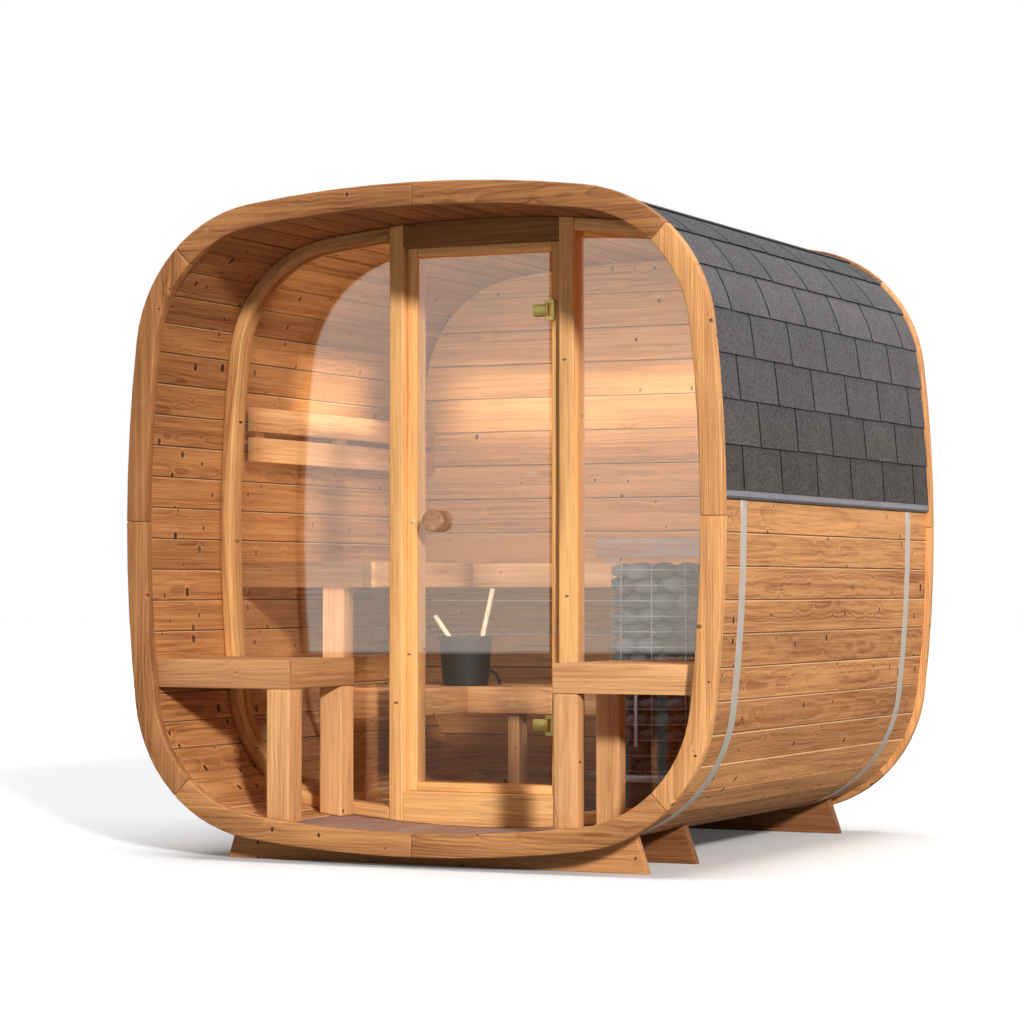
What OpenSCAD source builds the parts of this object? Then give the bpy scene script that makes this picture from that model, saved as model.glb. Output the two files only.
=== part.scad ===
// Cube sauna: a rounded timber shell on three feet, with an open porch,
// a glazed front wall with an all-glass door, L-shaped benches and a stone heater.
// X runs across the front, Y from the porch to the back wall, Z up from the ground.

/* [Shell] */
// Outside width over the end rings
body_w = 2200; // [1700:10:2700]
// Outside height over the end rings
body_h = 2228; // [1800:10:2700]
// Depth over both end rings
body_d = 2190; // [1800:10:2800]
// Free height between the ground and the lowest point of the rings
ground_gap = 38; // [20:1:80]
// Radius of the bowed side walls
side_r = 5300; // [3500:50:9000]
// Radius of the bowed roof and floor
top_r = 4660; // [3500:50:9000]
// Radius of the four rounded corners
corner_r = 514; // [350:1:620]
// Thickness of the wall boards
stave_t = 44; // [28:1:60]

/* [End rings] */
// Width of a ring, measured across the board
ring_w = 78; // [68:1:120]
// Thickness of a ring, front to back
ring_t = 40; // [20:1:60]
// How far a ring stands out over the wall boards
ring_lip = 20; // [14:1:20]
// Open joint between two lengths of a ring
joint_gap = 0.6; // [0.2:0.1:2]

/* [Roof covering] */
// Thickness of the shingle covering
roofing_t = 11; // [4:1:12]
// Height of the lower edge of the shingles above the ring's mid height
eave_rise = 85; // [30:5:200]
// Height of the metal eave strip
eave_h = 29; // [15:1:60]
// Thickness of the metal eave strip
eave_t = 14; // [4:1:14]

/* [Hoops and feet] */
// Width of a steel hoop
hoop_w = 52; // [25:1:60]
// Thickness of a steel hoop
hoop_t = 2; // [1:0.5:4]
// Distance from the front to the middle of the front hoop
front_hoop_y = 234; // [215:1:300]
// Distance from the back to the middle of the rear hoop
rear_hoop_y = 264; // [235:1:400]
// Length of a foot on the ground
foot_w = 1560; // [1200:10:1700]
// Thickness of a foot, front to back
foot_t = 34; // [30:1:34]
// Lean of a foot's ends, in degrees
foot_lean = 18; // [5:1:30]
// Distance from the front to each foot
foot_front_y = 148; // [100:1:148]
// Distance from the front to the middle foot
foot_middle_y = 570; // [400:5:900]
// Distance from the back ring's outer face to the rear foot
foot_rear_y = 141; // [80:1:230]

/* [Front wall] */
// Depth of the open porch, to the face of the door posts
porch_d = 520; // [400:5:800]
// Width of the battens that hold the fixed glass
batten_w = 46; // [30:1:70]
// Thickness of the front battens
batten_t = 40; // [20:1:50]
// Thickness of the battens behind the glass
back_batten_t = 32; // [15:1:45]
// Thickness of all the glass
glass_t = 8; // [6:1:12]
// Depth of glass held under the battens
glass_hold = 34; // [10:1:36]
// Depth of the door posts, front to back
post_d = 100; // [80:1:140]
// Width of a door post
post_w = 54; // [40:1:90]
// Width of a door jamb
jamb_w = 40; // [30:1:60]
// How far the jambs stand back from the face of the posts
jamb_back = 30; // [20:1:45]

/* [Door] */
// Clear width between the door jambs
door_w = 516; // [420:2:640]
// Clear height between the lower and the upper door rail
door_h = 1832; // [1400:2:1880]
// Height of the top of the lower door rail above the ground
door_z = 249; // [230:1:300]
// Height of the door rails
rail_h = 31; // [25:1:50]
// Gap around the free edges of the door glass
door_gap = 6; // [5:0.5:10]
// Gap between the door glass and the jamb on the hinge side
hinge_gap = 8; // [7:0.5:12]
// Height of each hinge's middle from the nearer end of the door opening
hinge_inset = 206; // [120:1:400]
// Widest opening angle of the door, in degrees
door_swing = 100; // [60:5:110]
// Diameter of the door knobs
knob_d = 76; // [50:1:90]
// Length of a knob from the glass
knob_l = 45; // [30:1:60]
// Distance from the free edge of the door glass to the middle of the knobs
knob_inset = 71; // [50:1:120]
// Height of the knobs above the ground
knob_z = 1157; // [900:1:1300]

/* [Porch benches] */
// Height of the top of the porch benches above the ground
porch_seat_z = 680; // [450:5:760]
// Height of the porch bench fronts
porch_front_h = 97; // [60:1:120]
// Distance from the middle of the sauna to the near end of each porch bench
porch_bench_x = 488; // [420:1:600]
// Clearance between the front ring and a porch bench
porch_bench_gap = 10; // [2:1:40]
// Width of the porch bench posts
porch_post_w = 88; // [60:1:110]
// Depth of the left porch bench's posts
left_post_d = 98; // [50:1:110]
// Depth of the right porch bench's posts
right_post_d = 60; // [40:1:110]

/* [Benches inside] */
// Height of the top of the upper bench
upper_z = 1018; // [900:1:1100]
// Height of the fronts of the upper bench
upper_front_h = 92; // [60:1:120]
// Distance from the middle of the sauna to the upper bench's long side
upper_x = 480; // [380:5:600]
// Depth of the upper bench along the back wall
upper_back_d = 640; // [450:5:700]
// Height of the top of the lower bench
lower_z = 565; // [450:1:640]
// Height of the fronts of the lower bench
lower_front_h = 95; // [60:1:120]
// Distance from the middle of the sauna to the lower bench's long side
lower_x = 315; // [200:5:360]
// How far the lower bench stands out in front of the upper one along the back wall
step_d = 380; // [250:5:450]
// Thickness of the seat boards
seat_t = 28; // [20:1:40]
// Thickness of the boards that close a bench's front
front_t = 28; // [18:1:40]
// Width of a bench leg
leg_w = 46; // [36:1:100]
// Depth of a bench leg
leg_d = 68; // [30:1:80]
// Height of a backrest board
backrest_h = 88; // [60:1:120]
// Gap between the two backrest boards
backrest_gap = 21; // [10:1:40]
// Height of the lower edge of the backrest
backrest_z = 1381; // [1200:1:1500]
// Thickness of a backrest board
backrest_t = 31; // [20:1:40]
// How far the face of the backrest stands out from the wall
backrest_out = 66; // [50:1:120]

/* [Heater] */
// Distance from the middle of the sauna to the middle of the heater
heater_x = 517; // [400:1:620]
// Gap between the front wall and the heater's tray
heater_gap = 50; // [30:1:120]
// Least gap between the heater's tray and the lower bench
heater_clear = 12; // [5:1:100]
// Radius of the stone column
column_r = 163; // [120:1:185]
// Height of the top of the stones above the ground
column_top = 1020; // [700:5:1100]
// Height of the top of the heater's tray above the ground
tray_z = 285; // [240:1:340]
// Width and depth of the tray
tray_w = 386; // [340:1:386]
// Thickness of the tray
tray_t = 26; // [10:1:40]
// Height of the guard board
guard_h = 73; // [50:1:110]
// Free height between the upper bench and the guard board
guard_rise = 18; // [8:1:40]
// Distance from the middle of the sauna to the free end of the guard board
guard_x = 25; // [0:1:200]

/* [Pail] */
// Radius of the pail's foot
pail_r = 84; // [60:1:110]
// Radius of the pail's rim
pail_rim_r = 101; // [70:1:130]
// Height of the pail
pail_h = 183; // [120:1:240]
// Wall of the pail
pail_wall = 5; // [3:1:10]
// How far the pail's lowered handle reaches out on the bench
handle_reach = 52; // [30:1:80]
// Distance from the middle of the sauna to the pail
pail_x = 379; // [340:1:420]
// Distance from the lower bench's front to the middle of the pail
pail_in = 115; // [105:1:200]

/* [Hidden] */
$fn = 64;

half_w = body_w / 2;
half_h = body_h / 2;
mid_z = ground_gap + half_h;
front_y = -body_d / 2;
back_y = body_d / 2;
touch = 0.3; // clearance of a piece that is fitted between two others
shell_out = ring_lip;
shell_in = ring_lip + stave_t;

// The outline is three arcs to a quarter: bowed side, rounded corner, bowed top.
side_c = [half_w - side_r, 0];
top_c = [0, half_h - top_r];
centre_dist = norm(top_c - side_c);
along = (pow(side_r - corner_r, 2) - pow(top_r - corner_r, 2) + pow(centre_dist, 2)) / (2 * centre_dist);
across = sqrt(pow(side_r - corner_r, 2) - pow(along, 2));
axis_dir = (top_c - side_c) / centre_dist;
corner_c = side_c + along * axis_dir + across * [axis_dir[1], -axis_dir[0]] * sign(axis_dir[1] - 2);
corner_pt = corner_c[0] > 0 && corner_c[1] > 0 ? corner_c
    : side_c + along * axis_dir - across * [axis_dir[1], -axis_dir[0]] * sign(axis_dir[1] - 2);
side_end = atan2(corner_pt[1] - side_c[1], corner_pt[0] - side_c[0]);
top_start = atan2(corner_pt[1] - top_c[1], corner_pt[0] - top_c[0]);

// Directions at which a quarter of the outline has its points
side_steps = 4;
corner_steps = 14;
quarter = concat(
    [for (i = [0 : side_steps - 1]) side_end * i / side_steps],
    [for (i = [0 : corner_steps - 1]) side_end + (top_start - side_end) * i / corner_steps],
    [for (i = [0 : side_steps - 1]) top_start + (90 - top_start) * i / side_steps]
);
last = len(quarter) - 1;
half_turn = concat(quarter, [90], [for (i = [last : -1 : 1]) 180 - quarter[i]]);
turn = concat(half_turn, [for (a = half_turn) a + 180]);
stations = concat([for (a = turn) a - 360], turn, [360]);

// A point of the outline whose normal points along angle a, set in by the given distance
function quarter_point(a, inset) =
    a <= side_end ? side_c + (side_r - inset) * [cos(a), sin(a)]
    : a <= top_start ? corner_pt + (corner_r - inset) * [cos(a), sin(a)]
    : top_c + (top_r - inset) * [cos(a), sin(a)];
function fold(a) = abs(((a % 360) + 540) % 360 - 180);
function outline_point(a, inset) =
    let (
        f = fold(a),
        q = f > 90 ? 180 - f : f,
        p = quarter_point(q, inset),
        below = ((a % 360) + 360) % 360 > 180
    )
    [f > 90 ? -p[0] : p[0], below ? -p[1] : p[1]];
function outline(from, to, inset) =
    [for (a = concat([from], [for (s = stations) if (s > from + 0.01 && s < to - 0.01) s], [to]))
        outline_point(a, inset)];
function reversed(list) = [for (i = [len(list) - 1 : -1 : 0]) list[i]];
function radius_at(a) =
    let (f = fold(a), q = f > 90 ? 180 - f : f)
    q <= side_end ? side_r : q <= top_start ? corner_r : top_r;
function eave_angle(rise) = asin(rise / side_r);
// Half width of the room between the bowed walls at height z
function wall_x(z) = side_c[0] + sqrt(pow(side_r - shell_in, 2) - pow(z - mid_z, 2));

// Extrude a shape drawn in the X-Z plane from y0 to y1, both measured from the front
module between(y0, y1) {
    translate([0, front_y + y1, mid_z])
        rotate([90, 0, 0])
            linear_extrude(y1 - y0)
                children();
}

// A length of curved board that follows the outline
module rim(from, to, outer, inner, y0, y1) {
    between(y0, y1)
        polygon(concat(outline(from, to, outer), reversed(outline(from, to, inner))));
}

// All that lies inside the outline set in by the given distance
module inside(inset, y0, y1) {
    between(y0, y1)
        polygon([for (a = turn) outline_point(a, inset)]);
}

// A box from its low corner to its high corner, with y measured from the front
module block(low, high) {
    translate([low[0], front_y + low[1], low[2]])
        cube([high[0] - low[0], high[1] - low[1], high[2] - low[2]]);
}

// A box cut to the curve of the room
module fitted_block(low, high, inset = shell_in + touch) {
    intersection() {
        block(low, high);
        inside(inset, low[1] - 1, high[1] + 1);
    }
}

wood = "peru";
far = half_w + 100;
tall = ground_gap + body_h + 100;
shell_y0 = ring_t;
shell_y1 = body_d - ring_t;

// ---- Shell ----
module shell_part(from, to) {
    color(wood)
        rim(from, to, shell_out, shell_in, shell_y0, shell_y1);
}

module roof_boards() {
    shell_part(top_start, 180 - top_start);
}

module floor_boards() {
    shell_part(180 + top_start, 360 - top_start);
}

module wall_right() {
    shell_part(-side_end, side_end);
}

module wall_left() {
    shell_part(180 - side_end, 180 + side_end);
}

module corners_right() {
    shell_part(side_end, top_start);
    shell_part(-top_start, -side_end);
}

module corners_left() {
    shell_part(180 - top_start, 180 - side_end);
    shell_part(180 + side_end, 180 + top_start);
}

// ---- End rings ----
corner_joint = (side_end + top_start) / 2 + 2;

module ring_length(from, to, y0) {
    half_gap = joint_gap / 2 * 180 / PI;
    color(wood)
        rim(from + half_gap / radius_at(from), to - half_gap / radius_at(to), 0, ring_w, y0, y0 + ring_t);
}

module ring_right(y0) {
    ring_length(corner_joint, 90, y0);
    ring_length(0, corner_joint, y0);
    ring_length(-corner_joint, 0, y0);
    ring_length(-90, -corner_joint, y0);
}

module ring_left(y0) {
    mirror([1, 0, 0])
        ring_right(y0);
}

module front_ring_left() {
    ring_left(0);
}

module front_ring_right() {
    ring_right(0);
}

module back_ring_left() {
    ring_left(body_d - ring_t);
}

module back_ring_right() {
    ring_right(body_d - ring_t);
}

// ---- Roof covering ----
roofing_start = eave_angle(eave_rise);
strip_start = eave_angle(eave_rise - eave_h);

module roofing(from, to) {
    color("dimgray")
        rim(from, to, shell_out - roofing_t, shell_out, shell_y0, shell_y1);
}

module roofing_right() {
    roofing(roofing_start, top_start);
}

module roofing_top() {
    roofing(top_start, 180 - top_start);
}

module roofing_left() {
    roofing(180 - top_start, 180 - roofing_start);
}

module eave_strips() {
    for (side = [0, 1])
        mirror([side, 0, 0])
            color("lightsteelblue")
                rim(strip_start, roofing_start, shell_out - eave_t, shell_out, shell_y0, shell_y1);
}

// ---- Hoops and feet ----
module hoops() {
    for (y = [front_hoop_y, body_d - rear_hoop_y])
        color("silver")
            rim(180 - strip_start, 360 + strip_start, shell_out - hoop_t, shell_out, y - hoop_w / 2, y + hoop_w / 2);
}

foot_top = mid_z - half_h / 2;
foot_top_w = foot_w - 2 * foot_top * tan(foot_lean);

module foot(y0) {
    color("sienna")
        difference() {
            translate([0, front_y + y0 + foot_t, 0])
                rotate([90, 0, 0])
                    linear_extrude(foot_t)
                        polygon([[-foot_w / 2, 0], [foot_w / 2, 0], [foot_top_w / 2, foot_top], [-foot_top_w / 2, foot_top]]);
            inside(shell_out, y0 - 1, y0 + foot_t + 1);
        }
}

module foot_front() {
    foot(foot_front_y);
}

module foot_middle() {
    foot(foot_middle_y);
}

module foot_rear() {
    foot(body_d - foot_rear_y - foot_t);
}

// ---- Back wall ----
back_wall_t = 45;
room_end = body_d - ring_t - back_wall_t - 15;

module back_wall() {
    color(wood)
        inside(shell_in, room_end, room_end + back_wall_t);
}

// ---- Glazed front wall ----
frame_half = door_w / 2 + jamb_w + post_w;
glass_y0 = porch_d + batten_t;
glass_y1 = glass_y0 + glass_t;
battens_end = glass_y1 + back_batten_t;

module beside_door(gap) {
    block([-far, porch_d - 10, -10], [-frame_half - gap, battens_end + 10, tall]);
}

module battens_left() {
    for (y = [[porch_d, glass_y0], [glass_y1, battens_end]])
        color(wood)
            intersection() {
                rim(90, 270, shell_in, shell_in + batten_w, y[0], y[1]);
                beside_door(touch);
            }
}

module battens_right() {
    mirror([1, 0, 0])
        battens_left();
}

module glass_left() {
    color("lightcyan", 0.4)
        intersection() {
            inside(shell_in + batten_w - glass_hold, glass_y0, glass_y1);
            beside_door(touch);
        }
}

module glass_right() {
    mirror([1, 0, 0])
        glass_left();
}

post_end = porch_d + post_d;

module door_post_right() {
    color(wood)
        fitted_block([frame_half - post_w, porch_d, 0], [frame_half, post_end, tall], shell_in);
}

module door_post_left() {
    mirror([1, 0, 0])
        door_post_right();
}

jamb_y = porch_d + jamb_back;
door_top = door_z + door_h;

module door_jambs() {
    for (side = [0, 1])
        mirror([side, 0, 0])
            color(wood)
                block([door_w / 2, jamb_y, door_z - rail_h], [door_w / 2 + jamb_w, post_end, door_top + rail_h]);
}

module door_rails() {
    for (z = [door_z - rail_h, door_top])
        color(wood)
            block([-door_w / 2, jamb_y, z], [door_w / 2, post_end, z + rail_h]);
}

inner_half = door_w / 2 + jamb_w;

module door_header() {
    color("saddlebrown")
        fitted_block([-inner_half, porch_d, door_top + rail_h], [inner_half, post_end, tall], shell_in);
}

module door_sill() {
    color(wood)
        fitted_block([-inner_half, porch_d, 0], [inner_half, post_end, door_z - rail_h], shell_in);
}

// ---- Door ----
door_left = -door_w / 2 + door_gap;
door_right = door_w / 2 - hinge_gap;
pane_y1 = jamb_y + glass_t;
knob_x = door_left + knob_inset;

module door_glass() {
    color("lightcyan", 0.4)
        block([door_left, jamb_y, door_z + door_gap], [door_right, pane_y1, door_top - door_gap]);
}

// Hinge: a clamp on the glass turns on a pin held by a leaf on the jamb.
pivot_x = door_right - 5;
pivot_y = jamb_y - 9;
clamp_w = 53;
clamp_h = 41;
clamp_t = 10;
barrel_r = 6;
pin_r = 3.5;
pin_clear = 0.3;
lug_gap = 2;
lug_h = 12;
leaf_t = 12;
leaf_w = 14;
leaf_gap = 1.5;

module at_hinges() {
    for (z = [door_z + hinge_inset, door_top - hinge_inset])
        translate([pivot_x, front_y + pivot_y, z])
            children();
}

module clamp() {
    difference() {
        union() {
            translate([-clamp_w, jamb_y - pivot_y - clamp_t, -clamp_h / 2])
                cube([clamp_w, clamp_t, clamp_h]);
            translate([0, 0, -clamp_h / 2])
                cylinder(r = barrel_r, h = clamp_h);
        }
        translate([0, 0, -clamp_h])
            cylinder(r = pin_r + pin_clear, h = 2 * clamp_h);
    }
    translate([-clamp_w, pane_y1 - pivot_y, -clamp_h / 2])
        cube([clamp_w - barrel_r, clamp_t, clamp_h]);
}

module hinge_clamps() {
    color("gold")
        at_hinges()
            clamp();
}

lug_z = clamp_h / 2 + lug_gap;
leaf_x = door_w / 2 - pivot_x + leaf_gap;

module leaf() {
    for (side = [0, 1])
        mirror([0, 0, side])
            translate([0, 0, lug_z]) {
                cylinder(r = barrel_r, h = lug_h);
                translate([0, -barrel_r, 0])
                    cube([leaf_x + leaf_w, 2 * barrel_r, lug_h]);
            }
    translate([0, 0, -lug_z - lug_h])
        cylinder(r = pin_r, h = 2 * (lug_z + lug_h));
    translate([leaf_x, jamb_y - pivot_y - leaf_t, -lug_z - lug_h])
        cube([leaf_w, leaf_t, 2 * (lug_z + lug_h)]);
}

module hinge_leaves() {
    color("gold")
        at_hinges()
            leaf();
}

module knob(y0, side) {
    neck_l = 14;
    neck_r = 14;
    translate([knob_x, front_y + y0, knob_z])
        rotate([side * 90, 0, 0]) {
            cylinder(r = neck_r, h = neck_l + 1);
            translate([0, 0, neck_l])
                cylinder(r = knob_d / 2, h = knob_l - neck_l);
        }
}

module outer_knob() {
    color("burlywood")
        knob(jamb_y, 1);
}

module inner_knob() {
    color("burlywood")
        knob(pane_y1, -1);
}

module ball_catch() {
    catch_r = 6;
    catch_l = 8;
    color("whitesmoke")
        translate([-door_w / 2 - 13, front_y + jamb_y, knob_z])
            rotate([90, 0, 0])
                cylinder(r = catch_r, h = catch_l);
}

// ---- Porch benches ----
bench_y0 = ring_t + porch_bench_gap;
bench_y1 = porch_d - touch;
porch_front_z = porch_seat_z - porch_front_h;

module porch_bench_right() {
    color(wood)
        intersection() {
            union() {
                block([porch_bench_x, bench_y0, porch_seat_z - seat_t], [far, bench_y1, porch_seat_z]);
                block([porch_bench_x, bench_y0, porch_front_z], [far, bench_y0 + front_t, porch_seat_z]);
                block([porch_bench_x, bench_y0, porch_front_z], [porch_bench_x + front_t, bench_y1, porch_seat_z]);
            }
            inside(shell_in + touch, bench_y0 - 1, bench_y1 + 1);
        }
}

module porch_bench_left() {
    mirror([1, 0, 0])
        porch_bench_right();
}

module porch_posts(depth, rear_y) {
    for (y = [bench_y0, rear_y])
        color(wood)
            fitted_block([porch_bench_x, y, 0], [porch_bench_x + porch_post_w, y + depth, porch_front_z], shell_in);
}

right_rear_gap = 65;

module porch_posts_right() {
    porch_posts(right_post_d, bench_y1 - right_rear_gap - right_post_d);
}

module porch_posts_left() {
    mirror([1, 0, 0])
        porch_posts(left_post_d, bench_y1 - left_post_d);
}

// ---- Benches inside ----
room_y0 = post_end + 2;
room_y1 = room_end - touch;
heater_y = room_y0 + heater_gap + tray_w / 2;
upper_y = room_end - upper_back_d;
lower_y = max(upper_y - step_d, heater_y + tray_w / 2 + heater_clear);
pail_y = lower_y + pail_in;

// A seat with a closed front edge; fronts lists the low and high corners of its front boards
module bench(low, high, fronts) {
    color(wood)
        intersection() {
            union() {
                block([low[0], low[1], high[2] - seat_t], high);
                for (f = fronts)
                    block(f[0], f[1]);
            }
            inside(shell_in + touch, low[1] - 1, high[1] + 1);
        }
}

upper_front_z = upper_z - upper_front_h;
lower_front_z = lower_z - lower_front_h;
lower_left_x = -700;
lower_y0 = room_y0 + 28;
lower_y1 = upper_y + 80;

module upper_bench_left() {
    bench([-far, room_y0, 0], [-upper_x, room_y1, upper_z], [
        [[-far, room_y0, upper_front_z], [-upper_x, room_y0 + front_t, upper_z]],
        [[-upper_x - front_t, room_y0, upper_front_z], [-upper_x, room_y1, upper_z]]
    ]);
}

module upper_bench_back() {
    bench([-upper_x, upper_y, 0], [far, room_y1, upper_z], [
        [[-upper_x, upper_y, upper_front_z], [far, upper_y + front_t, upper_z]]
    ]);
}

module lower_bench_left() {
    bench([lower_left_x, lower_y0, 0], [-lower_x, lower_y, lower_z], [
        [[lower_left_x, lower_y0, lower_front_z], [-lower_x, lower_y0 + front_t, lower_z]],
        [[-lower_x - front_t, lower_y0, lower_front_z], [-lower_x, lower_y, lower_z]]
    ]);
}

module lower_bench_back() {
    bench([lower_left_x, lower_y, 0], [far, lower_y1, lower_z], [
        [[lower_left_x, lower_y, lower_front_z], [far, lower_y + front_t, lower_z]],
        [[lower_left_x, lower_y, lower_front_z], [lower_left_x + front_t, lower_y1, lower_z]]
    ]);
}

// Legs of the lower bench stand on the floor, under its fronts
leg_x = -144;
right_leg_x = 790;
leg_back = 30;

module bench_legs() {
    color(wood) {
        for (x = [leg_x, right_leg_x])
            fitted_block([x - leg_w / 2, lower_y + leg_back, 0],
                [x + leg_w / 2, lower_y + leg_back + leg_d, lower_z - seat_t], shell_in);
        fitted_block([lower_left_x + front_t, lower_y0 + front_t, 0],
            [lower_left_x + front_t + leg_w, lower_y0 + front_t + leg_d, lower_z - seat_t], shell_in);
    }
}

// Posts of the upper bench stand on the lower bench
bench_post_w = 89;
bench_post_d = 68;
bench_post_x = -643;
right_post_x = 800;
post_back = 28;

module bench_posts() {
    color(wood) {
        block([bench_post_x - bench_post_w / 2, room_y0 + front_t, lower_z],
            [bench_post_x + bench_post_w / 2, room_y0 + front_t + bench_post_d, upper_z - seat_t]);
        block([right_post_x - bench_post_w / 2, lower_y1 - post_back - 20, lower_z],
            [right_post_x + bench_post_w / 2, lower_y1, upper_z - seat_t]);
    }
}

backrest_y0 = room_y0 + 18;
backrest_top = backrest_z + 2 * backrest_h + backrest_gap;
backrest_x = wall_x((backrest_z + backrest_top) / 2) - backrest_out;

module backrest_boards() {
    for (z = [backrest_z, backrest_z + backrest_h + backrest_gap])
        color(wood)
            block([-backrest_x - backrest_t, backrest_y0, z], [-backrest_x, room_y1, z + backrest_h]);
}

module backrest_battens() {
    batten_l = 60;
    for (y = [backrest_y0 + 60, (backrest_y0 + room_y1 - batten_l) / 2, room_y1 - 60 - batten_l])
        color(wood)
            fitted_block([-far, y, backrest_z], [-backrest_x - backrest_t, y + batten_l, backrest_top]);
}

// ---- Heater ----
module heater_stand() {
    leg_in = 40;
    color("dimgray")
        union() {
            fitted_block([heater_x - tray_w / 2 + leg_in, heater_y - tray_w / 2 + leg_in, 0],
                [heater_x + tray_w / 2 - leg_in, heater_y + tray_w / 2 - leg_in, tray_z - tray_t], shell_in);
            block([heater_x - tray_w / 2, heater_y - tray_w / 2, tray_z - tray_t],
                [heater_x + tray_w / 2, heater_y + tray_w / 2, tray_z]);
        }
}

module heater_column() {
    color("slategray")
        translate([heater_x, front_y + heater_y, tray_z])
            cylinder(r = column_r, h = column_top - tray_z);
}

guard_t = 20;
guard_z = upper_z + guard_rise;

module heater_guard() {
    spacer = 60;
    color(wood)
        intersection() {
            union() {
                block([guard_x, upper_y, guard_z], [far, upper_y + guard_t, guard_z + guard_h]);
                for (x = [guard_x + 40, (guard_x + half_w) / 2, half_w - 200])
                    block([x, upper_y, upper_z], [x + spacer, upper_y + guard_t, guard_z + 1]);
            }
            inside(shell_in + touch, upper_y - 1, upper_y + guard_t + 1);
        }
}

// ---- Pail and ladles ----
module pail() {
    handle_r = 6;
    color("darkslategray")
        translate([-pail_x, front_y + pail_y, lower_z])
            union() {
                rotate_extrude()
                    polygon([[0, 0], [pail_r, 0], [pail_rim_r, pail_h], [pail_rim_r - pail_wall, pail_h],
                        [pail_r - pail_wall, pail_wall], [0, pail_wall]]);
                translate([pail_r + 2, 0, handle_r])
                    rotate([90, 0, 0])
                        rotate_extrude(angle = 90)
                            translate([handle_reach, 0])
                                circle(r = handle_r);
            }
}

// A ladle stands in the pail: its bowl rests on the bottom and its handle leans on the rim
ladle_r = 9;
bowl_r = 20;

module ladle(at, lean, length) {
    translate([-pail_x + at[0], front_y + pail_y + at[1], lower_z + pail_wall + touch]) {
        cylinder(r = bowl_r, h = bowl_r);
        translate([0, 0, bowl_r * 0.6])
            rotate([0, lean, 0])
                cylinder(r = ladle_r, h = length);
    }
}

module ladles() {
    color("burlywood") {
        ladle([41, -24], 13.5, 350);
        ladle([46, 20], -37.5, 300);
    }
}

floor_boards();
roof_boards();
wall_left();
wall_right();
corners_left();
corners_right();
front_ring_left();
front_ring_right();
back_ring_left();
back_ring_right();
roofing_left();
roofing_top();
roofing_right();
eave_strips();
hoops();
foot_front();
foot_middle();
foot_rear();
back_wall();
battens_left();
battens_right();
glass_left();
glass_right();
door_post_left();
door_post_right();
door_jambs();
door_rails();
door_header();
door_sill();
door_glass();
hinge_clamps();
hinge_leaves();
outer_knob();
inner_knob();
ball_catch();
porch_bench_left();
porch_bench_right();
porch_posts_left();
porch_posts_right();
upper_bench_left();
upper_bench_back();
lower_bench_left();
lower_bench_back();
bench_legs();
bench_posts();
backrest_boards();
backrest_battens();
heater_stand();
heater_column();
heater_guard();
pail();
ladles();
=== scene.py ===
"""Finishes a packed cube sauna: boards, shingles, glass, fittings, benches and a stone heater."""

import math
import random

import bmesh
import bpy
from mathutils import Matrix, Vector, noise


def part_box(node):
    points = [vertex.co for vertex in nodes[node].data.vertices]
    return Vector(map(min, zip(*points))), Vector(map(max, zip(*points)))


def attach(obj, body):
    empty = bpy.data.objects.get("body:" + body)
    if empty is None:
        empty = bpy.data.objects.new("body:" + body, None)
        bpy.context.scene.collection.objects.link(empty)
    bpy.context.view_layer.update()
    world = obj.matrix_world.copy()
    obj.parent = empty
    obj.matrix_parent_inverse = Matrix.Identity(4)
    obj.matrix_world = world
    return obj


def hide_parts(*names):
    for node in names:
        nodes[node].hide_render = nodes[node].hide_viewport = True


bl_info = {
    "name": "Cube sauna",
    "version": (1, 0, 0),
    "blender": (4, 5, 0),
    "location": "3D View > Sidebar > Sauna",
    "description": "Finishes a cube sauna with boards, shingles, glass, benches and a stone heater",
    "category": "Add Mesh",
}

CABIN = "cabin"
DOOR = "door"
MERGE = 1e-6

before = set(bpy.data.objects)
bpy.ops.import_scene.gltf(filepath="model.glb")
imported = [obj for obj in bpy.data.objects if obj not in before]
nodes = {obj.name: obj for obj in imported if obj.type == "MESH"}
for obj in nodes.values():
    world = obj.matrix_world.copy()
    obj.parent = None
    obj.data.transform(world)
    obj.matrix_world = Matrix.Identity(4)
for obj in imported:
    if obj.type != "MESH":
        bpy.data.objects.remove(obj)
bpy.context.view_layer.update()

RING_LOW, RING_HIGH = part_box("front_ring_right")
BACK_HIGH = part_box("back_ring_right")[1]
WALL_LOW, WALL_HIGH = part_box("wall_right")


# ---- Settings ----


def colour(red, green, blue):
    """Linear colour from the 0 to 255 values of a colour chart."""
    return tuple(
        part / 12.92 if part <= 0.04045 else ((part + 0.055) / 1.055) ** 2.4
        for part in (red / 255, green / 255, blue / 255)
    )


def metres(name, default, description):
    """A length that a user may change."""
    return bpy.props.FloatProperty(
        name=name, description=description, default=default,
        min=0, precision=4, subtype="DISTANCE", unit="LENGTH",
    )


def tint(name, default, description):
    """A colour that a user may change."""
    return bpy.props.FloatVectorProperty(
        name=name, description=description, default=default, size=3, min=0, max=1, subtype="COLOR"
    )


def amount(name, default, description):
    """A plain number that a user may change."""
    return bpy.props.FloatProperty(name=name, description=description, default=default, min=0)


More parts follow.
